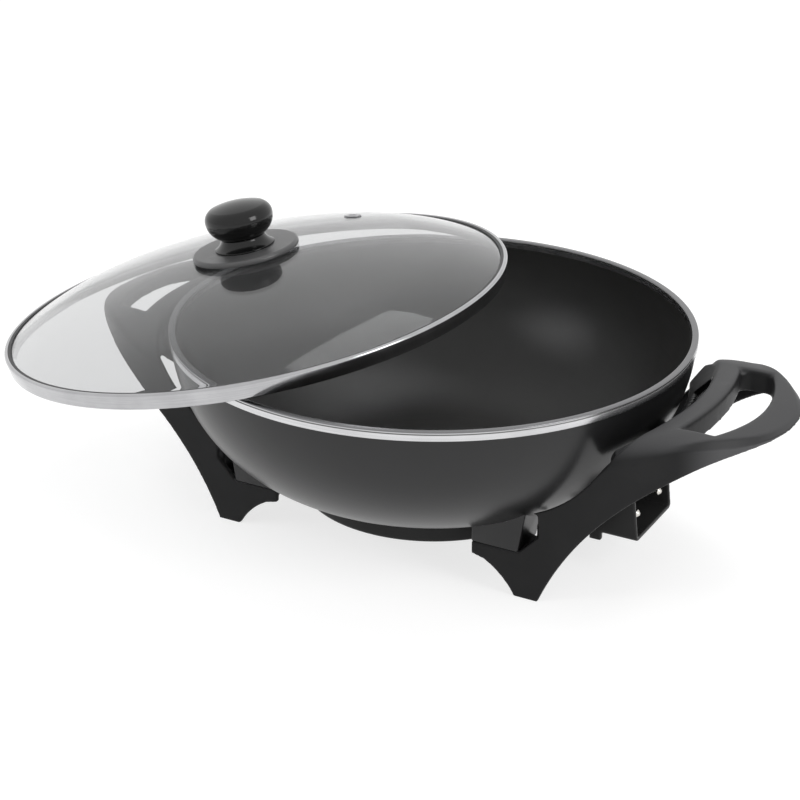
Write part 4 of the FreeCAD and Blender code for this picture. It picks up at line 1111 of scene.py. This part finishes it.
@dataclass
class Handle:
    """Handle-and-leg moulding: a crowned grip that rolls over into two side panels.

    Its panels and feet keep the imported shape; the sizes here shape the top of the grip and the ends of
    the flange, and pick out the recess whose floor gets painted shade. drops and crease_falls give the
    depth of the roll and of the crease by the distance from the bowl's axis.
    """

    voxel: float = 0.8
    passes: int = 6
    most_triangles: int = 180000
    half_width: float = 85.0
    side_centre: Point = (160.7, -9.0)
    side_arc: float = 94.0
    tip_centre: float = 174.4
    tip_arc: float = 77.6
    side_angle: float = 33.3
    crown_height: float = 126.5
    crown_reach: float = 212.0
    crown_arc: float = 136.3
    crown_run: float = 80.0
    sweep_centre: Point = (96.6, 142.3)
    sweep_arc: float = 93.1
    crest_round: float = 3.0
    opening_inner: float = 204.0
    opening_centre: float = 120.0
    opening_outer: float = 111.0
    opening_half: float = 52.0
    opening_round: float = 3.0
    slot_radii: Point = (175.5, 185.0)
    slot_angle: float = 14.2
    slot_heights: Point = (103.0, 121.0)
    slot_margin: float = 2.0
    slot_facing: float = 0.2
    tuck_angles: Point = (22.5, 25.7)
    tuck_heights: Point = (95.0, 120.0)
    tuck_past: float = 0.9
    tuck_depth: float = 4.0
    tuck_cover: float = 0.5
    flange_low: float = 171.0
    roll: float = 21.0
    drops: tuple[Point, ...] = ((160.0, 17.0), (190.0, 13.0), (205.0, 9.0))
    roll_ends: Point = (195.0, 220.0)
    crease: float = 3.6
    crease_falls: tuple[Point, ...] = ((200.0, 6.0), (232.0, 5.0), (240.0, 3.5), (250.0, 0.8))
    grip_from: Point = (150.0, 95.0)
    sole: float = 6.0

    def inset(self, x: float, y: float) -> float:
        """Return how far a place lies inside the moulding's outline seen from above.

        Args:
            x: Distance from the bowl's axis along the handle.
            y: Distance from the handle's middle.

        Returns:
            The depth in millimetres.
        """
        across = abs(y)
        if x <= self.side_centre[0]:
            return self.half_width - across
        spoke = Vector((x - self.side_centre[0], across - self.side_centre[1]))
        if math.degrees(math.atan2(spoke.y, spoke.x)) > self.side_angle:
            return self.side_arc - spoke.length
        return self.tip_arc - math.hypot(x - self.tip_centre, across)

    def crest(self, height: float) -> float:
        """Return how far the moulding's inner edge lies from the bowl's axis at a height."""
        rise = height - self.sweep_centre[1]
        return self.sweep_centre[0] + math.sqrt(self.sweep_arc ** 2 - rise * rise)

    def edges(self, x: float, y: float, height: float) -> float:
        """Return how far the top falls at its crest and round the finger opening.

        Args:
            x: Distance from the bowl's axis along the handle.
            y: Distance from the handle's middle.
            height: Height of the top there.

        Returns:
            The fall in millimetres.
        """
        radius = math.hypot(x, y)
        outer = math.hypot(x - self.opening_centre, y) - self.opening_outer
        opening = max(self.opening_inner - radius, outer, abs(y) - self.opening_half)
        inner = rounding(radius - self.crest(height), self.crest_round)
        return max(inner, rounding(opening, self.opening_round))

    def top(self, x: float, y: float) -> float:
        """Return the height of the grip's top: crowned, rolling over towards the outline.

        Args:
            x: Distance from the bowl's axis along the handle.
            y: Distance from the handle's middle.

        Returns:
            The height in millimetres.
        """
        run = min(abs(x - self.crown_reach), self.crown_run)
        crown = self.crown_height - self.crown_arc + math.sqrt(self.crown_arc ** 2 - run * run)
        inset = max(self.inset(x, y), 0.0)
        share = min(inset / self.roll, 1.0)
        rolled = between(self.drops, x) * rounding(share, 1.0)
        creased = between(self.crease_falls, x) * max(0.0, 1.0 - inset / self.crease)
        start, full = self.roll_ends
        along = min(max((x - start) / (full - start), 0.0), 1.0)
        along = along * along * (3 - 2 * along)
        height = crown - rolled * (1 - along) - (creased + (1 - share) ** 2) * along
        return height - self.edges(x, y, height)

    def tucked(self, spot: Vector) -> Vector:
        """Return a place on the flange's end, drawn back behind the panel's edge.

        Args:
            spot: A place on the moulding in millimetres.

        Returns:
            The place where it belongs.
        """
        radius = math.hypot(spot.x, spot.y)
        angle = math.degrees(math.atan2(abs(spot.y), spot.x))
        start, full = self.tuck_angles
        low, high = self.tuck_heights
        aside = not start < angle < full + self.tuck_past
        if aside or not low < spot.z < high or radius < self.flange_low - self.tuck_depth:
            return spot
        share = min((angle - start) / (full - start), 1.0)
        least = self.flange_low + (self.crest(spot.z) + self.tuck_cover - self.flange_low) * share
        grown = max(1.0, least / radius)
        return Vector((spot.x * grown, spot.y * grown, spot.z))

    def build(self) -> bpy.types.Object:
        """Return the right-hand moulding, its edges melted together as a mould leaves them."""
        handle = Bench.take("handle_leg_right", "handle_moulding_right")
        melt = {"mode": "VOXEL", "voxel_size": self.voxel * MM}
        inner, low = self.grip_from
        Bench.modify(handle, "REMESH", melt)
        for vertex in handle.data.vertices:
            spot = self.tucked(vertex.co / MM)
            vertex.co = spot * MM
            if spot.z > low and spot.x > inner:
                vertex.co.z = min(spot.z, self.top(spot.x, spot.y)) * MM
        Bench.modify(handle, "REMESH", melt)
        Bench.modify(handle, "SMOOTH", {"factor": 0.5, "iterations": self.passes})
        triangles = sum(len(face.vertices) - 2 for face in handle.data.polygons)
        Bench.modify(handle, "DECIMATE", {"ratio": min(1.0, self.most_triangles / triangles)})
        lowest = min(vertex.co.z for vertex in handle.data.vertices)
        for vertex in handle.data.vertices:
            share = max(0.0, 1.0 - vertex.co.z / (self.sole * MM))
            vertex.co.z -= lowest * share
        Bench.hold(handle)
        bpy.ops.object.shade_smooth()
        return handle

    def is_slot(self, spot: Vector, normal: Vector) -> bool:
        """Tell whether a face lies in the recess of the sloped flange, where the painted shade goes.

        Args:
            spot: The face's middle in millimetres.
            normal: The face's normal.

        Returns:
            Whether it does.
        """
        inner, outer = self.slot_radii
        low, high = self.slot_heights
        radius = math.hypot(spot.x, spot.y)
        within = inner < radius < outer + self.slot_margin and low < spot.z < high
        aside = abs(math.degrees(math.atan2(spot.y, spot.x)))
        return within and aside < self.slot_angle and normal.z > self.slot_facing

    def dress(self, right: bpy.types.Object) -> None:
        """Colour the moulding, with its painted light and the painted shade in its recess, and turn a
        copy of it to the other end.

        Args:
            right: The finished right-hand moulding.
        """
        # The handle's plastic has painted light: paler top faces and a paler band on its outer sides.
        Bench.paint(right, Moulding("handle_plastic", painted_top_light=2.8).material())
        # Painted shade: the upward floor of the flange's recess gets a near-black glossy plastic for the
        # shade of a deep slot.
        lens = Moulding("slot_painted_shade", (0.003, 0.003, 0.003), (0.004, 0.004, 0.004), 0.16, 700.0, 0.03)
        Bench.paint(right, lens.material(), self.is_slot)
        left = Bench.copy(right, "handle_moulding_left")
        Bench.move(left, Matrix.Rotation(math.pi, 4, "Z"))
        finish(right, Body.WOK, "handle_leg_right")
        finish(left, Body.WOK, "handle_leg_left")


# --- base and inlet ---------------------------------------------------------------


@dataclass
class Base:
    """Base cover under the element chamber, and the guarded inlet beside it."""

    cover_radius: float = 90.0
    cover_bottom: float = 19.5
    cover_top: float = 34.2
    cover_wall: float = 2.0
    ring: Point = (60.0, 65.0)
    ring_slope: float = 1.0
    ring_depth: float = 0.6
    notch_reach: Point = (45.0, 95.0)
    notch_half: float = 25.0
    notch_heights: Point = (23.0, 60.0)
    pin_side: float = 18.3
    pin_height: float = 42.4
    pin_start: float = 131.5
    pin_end: float = 160.4
    pin_radius: float = 2.75
    pin_neck: float = 2.4
    pin_neck_length: float = 3.0
    pin_tip: float = 1.0
    pin_tip_length: float = 1.6
    edge_angle: float = 35.0
    pin_edge_angle: float = 40.0
    voxel: float = 0.6
    passes: int = 4

    def cover(self) -> bpy.types.Object:
        """Return the turned cover, notched for the inlet."""
        radius, wall = self.cover_radius, self.cover_wall
        bottom, top = self.cover_bottom, self.cover_top
        start, stop = self.ring
        slope, floor = self.ring_slope, bottom + wall
        raised = bottom + self.ring_depth
        corners = [(0.0, bottom, 0.0), (start, bottom, 0.0), (start + slope, raised, 0.5),
                   (stop - slope, raised, 0.5), (stop, bottom, 0.5), (radius, bottom, 2.6),
                   (radius, top, 0.6), (radius - wall, top, 0.6), (radius - wall, floor, 1.5),
                   (0.0, floor, 0.0)]
        cover = Bench.turn("base_cover_pan", soften(corners), 160)
        inner, outer = self.notch_reach
        low, high = self.notch_heights
        notch = Bench.block("notch", (inner, -self.notch_half, low), (outer, self.notch_half, high))
        Bench.cut(cover, notch)
        Bench.smooth(cover, self.edge_angle)
        return cover

    def pin(self) -> bpy.types.Object:
        """Return one terminal pin, standing on its root."""
        length = self.pin_end - self.pin_start
        neck = self.pin_neck_length
        corners = [(0.0, 0.0, 0.0), (self.pin_neck, 0.0, 0.0), (self.pin_neck, neck, 0.0),
                   (self.pin_radius, neck, 0.15), (self.pin_radius, length - self.pin_tip_length, 0.8),
                   (self.pin_tip, length, 0.5), (0.0, length, 0.0)]
        pin = Bench.turn("pin", soften(corners), 40)
        Bench.smooth(pin, self.pin_edge_angle)
        return pin

    def shroud(self) -> bpy.types.Object:
        """Return the moulded guard round the pins, its edges softened."""
        shroud = Bench.take("plug_shroud", "plug_shroud_moulding")
        Bench.modify(shroud, "REMESH", {"mode": "VOXEL", "voxel_size": self.voxel * MM})
        Bench.modify(shroud, "SMOOTH", {"factor": 0.5, "iterations": self.passes})
        Bench.hold(shroud)
        bpy.ops.object.shade_smooth()
        return shroud

    def dress(self) -> None:
        """Build and finish the cover, the shroud and the pins."""
        cover = self.cover()
        Bench.paint(cover, Moulding("cover_enamel", (0.020, 0.020, 0.020), (0.028, 0.028, 0.028),
                                    0.40, 900.0, 0.12).material())
        finish(cover, Body.WOK, "base_cover")
        shroud = self.shroud()
        Bench.paint(shroud, Moulding("shroud_plastic", (0.028, 0.028, 0.028), (0.036, 0.036, 0.036),
                                     0.30, 1400.0, 0.10).material())
        finish(shroud, Body.WOK, "plug_shroud")
        plating = PlainMetal("pin_nickel", (0.72, 0.70, 0.66), (0.50, 0.48, 0.44), 0.22).material()
        first = self.pin()
        for name, side in (("front", -1), ("rear", 1)):
            pin = Bench.copy(first, "terminal_pin_" + name)
            root = Vector((self.pin_start, side * self.pin_side, self.pin_height))
            Bench.move(pin, Matrix.Translation(root * MM) @ Matrix.Rotation(math.pi / 2, 4, "Y"))
            Bench.paint(pin, plating)
            finish(pin, Body.WOK, "inlet_pin_" + name)
        bpy.data.objects.remove(first)


# --- lid --------------------------------------------------------------------------


@dataclass
class Lid:
    """Domed glass lid with its metal band, seal, knob and vent, in its own frame."""

    shift: Point = (-124.3, -21.5)
    tilt: float = 10.6
    heading: float = -166.7
    radius: float = 174.3
    band_height: float = 10.6
    metal: float = 0.8
    band_depth: float = 7.8
    band_inner: float = 5.5
    band_lean: float = 1.8
    lip: float = 2.8
    glass: float = 4.0
    dome: float = 42.0
    crown_arc: float = 520.0
    crown_edge: float = 126.0
    edge: Point = (169.0, 10.0)
    edge_drop: float = 3.15
    seal: float = 1.0
    seal_base: float = 2.2
    bead: float = 0.6
    bead_gap: float = 0.5
    hole: float = 4.15
    gasket_radius: float = 12.0
    gasket: float = 1.0
    disc_radius: float = 36.5
    disc_top: float = 45.8
    disc_edge: float = 42.3
    disc_shell: float = 2.6
    disc_slope: float = 2.0
    knob_bore: float = 4.02
    knob_bore_depth: float = 15.0
    vent_circle: float = 106.0
    vent_heading: float = 78.0
    vent_bore: float = 2.6
    vent_tube: float = 4.0
    vent_flange: float = 6.5
    vent_metal: float = 0.8
    vent_gap: float = 0.15
    edge_angle: float = 40.0
    disc_edge_angle: float = 35.0
    crown_steps: int = 28
    shoulder_steps: int = 22
    steps: int = 256

    def place(self) -> Matrix:
        """Return where the lid's own frame lies: tipped on the bowl's rim."""
        heading = math.radians(self.heading)
        axis = Vector((-math.sin(heading), math.cos(heading), 0))
        turn = Matrix.Rotation(math.radians(self.tilt), 4, axis)
        low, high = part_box("lid_band")
        middle = (low[2] + high[2]) / 2
        up = turn @ Vector((0, 0, 1))
        height = middle - up.z * self.band_height / 2 * MM
        return Matrix.Translation((self.shift[0] * MM, self.shift[1] * MM, height)) @ turn

    def axis(self) -> Axis:
        """Return the lid's axis for marks that run round it."""
        inverse = self.place().inverted()
        return Axis(tuple(inverse.to_translation()), tuple(inverse.to_euler("XYZ")))

    def crown(self, radius: float) -> float:
        """Return the height of the glass's top inside the crown."""
        return self.dome - self.crown_arc + math.sqrt(self.crown_arc ** 2 - radius ** 2)

    def shoulder(self) -> tuple[Point, float]:
        """Return the centre and radius of the shoulder, which runs on from the crown to the edge."""
        sine = self.crown_edge / self.crown_arc
        cosine = math.sqrt(1.0 - sine * sine)
        start = self.crown(self.crown_edge)
        run, fall = self.edge[0] - self.crown_edge, self.edge[1] - start
        radius = -(run * run + fall * fall) / (2 * (run * sine + fall * cosine))
        return (self.crown_edge - radius * sine, start - radius * cosine), radius

    def glass_outline(self) -> list[Point]:
        """Return half the glass's section, a closed ring round the knob's hole."""
        centre, radius = self.shoulder()
        rim = self.radius - self.metal - self.seal
        lean = math.degrees(math.asin(self.crown_edge / self.crown_arc))
        crown_centre = (0.0, self.dome - self.crown_arc)
        first = math.degrees(math.asin(self.hole / self.crown_arc))
        last = math.degrees(math.atan2(self.edge[0] - centre[0], self.edge[1] - centre[1]))
        inner_arc = radius - self.glass
        inner_rim = rim - self.glass
        reach = math.degrees(math.asin((inner_rim - centre[0]) / inner_arc))
        many, some = self.crown_steps, self.shoulder_steps
        top = arc(crown_centre, self.crown_arc, 90 - first, 90 - lean, many)
        shoulder = arc(centre, radius, 90 - lean, 90 - last, some)[1:]
        edge_top = self.edge[1] - self.edge_drop
        edge_low = self.metal + self.seal_base
        under = arc(centre, inner_arc, 90 - reach, 90 - lean, some)
        below = arc(crown_centre, self.crown_arc - self.glass, 90 - lean, 90 - first, many)[1:]
        side = [(rim, edge_top, 1.0), (rim, edge_low, 0.4), (inner_rim, edge_low, 0.4)]
        return soften([*top, *shoulder, *side, *under, *below], closed=True)

    def band_outline(self) -> list[Point]:
        """Return half the section of the rolled band."""
        inside = self.radius - self.band_depth
        radius = self.radius
        metal = self.metal
        height = self.band_height
        corners = [(inside, 0.0, 0.35), (radius - self.band_lean, 0.0, 0.9), (radius, height, 1.4),
                   (radius - self.lip, height, 0.3), (radius - self.lip, height - metal, 0.3),
                   (radius - metal, height - metal, 0.8),
                   (radius - self.band_lean - metal, metal, 0.4),
                   (inside + metal, metal, 0.3), (inside + metal, self.band_inner, 0.3),
                   (inside, self.band_inner, 0.3)]
        return soften(corners, closed=True)

    def seal_outline(self) -> list[Point]:
        """Return half the section of the seal between the band and the glass."""
        inside = self.radius - self.band_depth + self.metal
        outside = self.radius - self.metal
        foot = outside - self.band_lean
        rim = outside - self.seal
        top = self.edge[1] - self.edge_drop
        low = self.metal + self.seal_base
        under_lip = self.band_height - self.metal
        lip = self.radius - self.lip
        bead = under_lip + self.bead
        start = self.edge[0] + self.bead_gap
        corners = [(inside, self.metal, 0.0), (foot, self.metal, 0.0), (outside, top, 0.3),
                   (outside, under_lip, 0.2), (lip, under_lip, 0.0), (lip, bead, 0.2),
                   (start, bead, 0.2), (start, self.edge[1] - self.bead_gap, 0.0),
                   (rim, top, 0.3), (rim, low, 0.0), (rim - self.glass, low, 0.0),
                   (rim - self.glass, self.band_inner, 0.3), (inside, self.band_inner, 0.3)]
        return soften(corners, closed=True)

    def disc_outline(self) -> list[Point]:
        """Return half the section of the disc under the knob."""
        under = self.dome + self.gasket
        shell = self.disc_top - self.disc_shell
        inner = self.disc_radius - self.disc_shell
        boss = self.gasket_radius
        corners = [(self.hole, under, 0.0), (boss, under, 0.1), (boss + self.disc_slope, shell, 0.0),
                   (inner, shell, 0.3), (inner, self.disc_edge, 0.2),
                   (self.disc_radius, self.disc_edge, 0.3), (self.disc_radius, self.disc_top, 2.2),
                   (self.hole, self.disc_top, 0.0)]
        return soften(corners, closed=True, steps=7)

    def knob_outline(self) -> list[Point]:
        """Return half the knob's section, from its foot over its cap to its middle."""
        base = self.disc_top
        hole = self.knob_bore
        bore = base + self.knob_bore_depth
        foot = (20.4, base + 1.0)
        neck = (14.7, base + 7.8)
        cap = (23.25, base + 20.7)
        crown = (18.6, base + 28.2)
        top = (0.0, base + 31.2)
        turned = [*bow(foot, neck, -11.0, 10)[:-1], (*neck, 1.2), *bow(neck, cap, 14.0, 16),
                  *bow(cap, crown, 8.14, 10)[:-1], (*crown, 1.6), *bow(crown, top, 59.2, 12)]
        return soften([(hole, base, 0.0), (foot[0], base, 0.2), (*foot, 0.3), *turned,
                       (0.0, bore, 0.0), (hole, bore, 0.0)], closed=True, steps=5)

    def vent(self) -> bpy.types.Object:
        """Return the eyelet, square to the dome."""
        top = self.vent_gap
        bottom = -self.glass - self.vent_gap
        crest, foot = top + self.vent_metal, bottom - self.vent_metal
        bore, tube, flange = self.vent_bore, self.vent_tube, self.vent_flange
        corners = [(bore, foot, 0.0), (flange, foot, 0.3), (flange, bottom, 0.3), (tube, bottom, 0.0),
                   (tube, top, 0.0), (flange, top, 0.2), (flange - 0.5, crest, 0.4),
                   (bore + 0.6, crest, 0.3), (bore, top, 0.0)]
        vent = Bench.turn("vent_ring", soften(corners, closed=True), 64)
        heading = math.radians(self.vent_heading)
        spot = Vector((self.vent_circle * math.cos(heading), self.vent_circle * math.sin(heading),
                       self.crown(self.vent_circle))) * MM
        lean = math.asin(self.vent_circle / self.crown_arc)
        square = Matrix.Rotation(heading, 4, "Z") @ Matrix.Rotation(lean, 4, "Y")
        Bench.move(vent, self.place() @ Matrix.Translation(spot) @ square)
        return vent

    def dress(self) -> None:
        """Build and finish every piece of the lid."""
        place = self.place()
        axis = self.axis()
        steel = TurnedMetal("band_polish", (0.50, 0.50, 0.51), (0.40, 0.40, 0.41), 0.17, 1800.0, 0.05,
                            axis)
        eyelet = TurnedMetal("eyelet_polish", (0.36, 0.36, 0.37), (0.26, 0.26, 0.27), 0.25, 1800.0,
                             0.05, axis)
        rubber = Moulding("seal_silicone", (0.050, 0.050, 0.051), (0.065, 0.065, 0.066), 0.5, 800.0)
        satin = Moulding("shield_plastic", (0.058, 0.058, 0.059), (0.070, 0.070, 0.071), 0.34, 1500.0,
                         0.04, 0.5)
        gloss = Moulding("knob_plastic", (0.004, 0.004, 0.004), (0.006, 0.006, 0.006), 0.13, 600.0,
                         0.02, 0.38)
        fine, coarse = self.steps, self.steps // 2
        edge, soft = self.edge_angle, self.disc_edge_angle
        pieces = (
            ("glass_dome", self.glass_outline(), fine, ClearGlass(), Slot.GLASS, "lid_glass", edge),
            ("lid_rim_band", self.band_outline(), fine, steel, Slot.BAND, "lid_band", edge),
            ("lid_rim_seal", self.seal_outline(), fine, rubber, Slot.SEAL, "lid_seal", edge),
            ("knob_disc", self.disc_outline(), coarse, satin, Slot.SHIELD, "knob_shield", soft),
            ("knob_turned", self.knob_outline(), coarse, gloss, Slot.KNOB, "knob_grip", edge))
        for name, outline, steps, look, slot, node, angle in pieces:
            piece = Bench.turn(name, outline, steps)
            Bench.smooth(piece, angle)
            Bench.move(piece, place)
            Bench.paint(piece, look.material())
            finish(piece, Body.LID, node)
        vent = self.vent()
        Bench.smooth(vent, self.edge_angle)
        Bench.paint(vent, eyelet.material())
        finish(vent, Body.LID, "vent_eyelet")


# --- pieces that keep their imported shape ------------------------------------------


class Hardware:
    """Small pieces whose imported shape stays, each with its own finish."""

    def dress(self) -> None:
        """Give every node that stays its finish."""
        steel = PlainMetal("screw_zinc", (0.50, 0.50, 0.51), (0.34, 0.34, 0.33), 0.32).material()
        washer = PlainMetal("washer_zinc", (0.60, 0.60, 0.60), (0.42, 0.42, 0.41), 0.36).material()
        plate = PlainMetal("plate_steel", (0.48, 0.48, 0.49), (0.30, 0.30, 0.30), 0.38).material()
        sheath = PlainMetal("sheath_alloy", (0.30, 0.28, 0.26), (0.14, 0.12, 0.11), 0.42, 0.8).material()
        brass = PlainMetal("insert_brass", (0.80, 0.58, 0.28), (0.55, 0.38, 0.18), 0.30).material()
        glaze = Ceramic().material()
        rubber = Moulding("gasket_silicone", (0.05, 0.05, 0.052), (0.07, 0.07, 0.072), 0.55).material()
        kinds = (("element_clip_screw", steel), ("element_clip", plate), ("heating_element", sheath),
                 ("pin_bush", glaze), ("probe_sleeve", washer), ("inlet_plate", plate),
                 ("knob_gasket", rubber), ("knob_insert", brass), ("knob_washer", washer),
                 ("rim_washer", washer), ("", steel))
        for name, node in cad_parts.items():
            material = next(look for start, look in kinds if name.startswith(start))
            for slot in node.material_slots:
                slot.material = material
        LOG.info("%-24s %7d nodes dressed", "packed hardware", len(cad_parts))


# --- studio -----------------------------------------------------------------------


@dataclass
class Studio:
    """White floor and surroundings, soft lamps and the camera."""

    lens: float = 90.2
    sensor: float = 36.0
    spot: Place = (0.57873, -1.09534, 0.63515)
    back: Place = (0.44088149, -0.79924881, 0.40844198)
    right: Place = (0.87561631, 0.48300732, 0.0)
    up: Place = (-0.19728047, 0.35763846, 0.91278428)
    aim: Place = (0.0, 0.0, 0.08)
    floor_size: float = 14.0
    ambient: float = 0.55

    def camera(self) -> None:
        """Add the camera."""
        data = bpy.data.cameras.new("camera")
        data.sensor_width = self.sensor
        data.lens = self.lens
        camera = bpy.data.objects.new("camera", data)
        bpy.context.collection.objects.link(camera)
        turn = Matrix((self.right, self.up, self.back)).transposed().to_4x4()
        camera.matrix_world = Matrix.Translation(self.spot) @ turn
        bpy.context.scene.camera = camera

    def lamp(self, name: str, spot: Sequence[float], size: Point, power: float,
             mirrored: bool = True) -> None:
        """Add a soft rectangular lamp that faces the bowl.

        Args:
            name: Name of the lamp.
            spot: Its place in metres.
            size: Its width and height in metres.
            power: Its power in watts.
            mirrored: Whether it shows as a reflection.
        """
        data = bpy.data.lights.new(name, "AREA")
        data.shape = "RECTANGLE"
        data.size, data.size_y = size
        data.energy = power
        lamp = bpy.data.objects.new(name, data)
        bpy.context.collection.objects.link(lamp)
        aim = Vector(self.aim) - Vector(spot)
        lamp.location = spot
        lamp.visible_glossy = mirrored
        lamp.rotation_euler = aim.to_track_quat("-Z", "Y").to_euler()

    def floor(self) -> None:
        """Add the floor."""
        Bench.clear()
        bpy.ops.mesh.primitive_plane_add(size=self.floor_size, location=(0, 0, 0))
        floor = bpy.context.active_object
        floor.name = "studio_floor"
        Bench.paint(floor, Floor().material())

    def surroundings(self) -> None:
        """Make everything beyond the floor white to look at and dimmer as a light."""
        world = bpy.data.worlds.new("studio")
        world.use_nodes = True
        bpy.context.scene.world = world
        sheet = NodeSheet(world.node_tree)
        light, white = (sheet.value("ShaderNodeBackground", values={"Color": WHITE, "Strength": strength})
                        for strength in (self.ambient, 1.0))
        sheet.output(sheet.mix(rays_that_look(sheet), light, white), "ShaderNodeOutputWorld")

    def build(self) -> None:
        """Set up the whole studio."""
        bpy.context.scene.view_settings.view_transform = "Standard"
        self.camera()
        self.floor()
        self.surroundings()
        self.lamp("lamp_left", (-1.6, -1.5, 1.7), (1.4, 1.0), 26.0, mirrored=False)
        self.lamp("lamp_right", (1.9, -0.3, 1.2), (0.8, 1.2), 16.0)
        self.lamp("lamp_top", (0.1, 0.9, 2.2), (1.8, 1.2), 24.0, mirrored=False)


def main() -> None:
    """Build the studio and every piece."""
    logging.basicConfig(level=logging.INFO, format="%(message)s")
    Studio().build()
    bowl = Bowl()
    bowl.dress(bowl.build())
    handle = Handle()
    handle.dress(handle.build())
    Base().dress()
    Lid().dress()
    Hardware().dress()


if __name__ == "__main__":
    main()
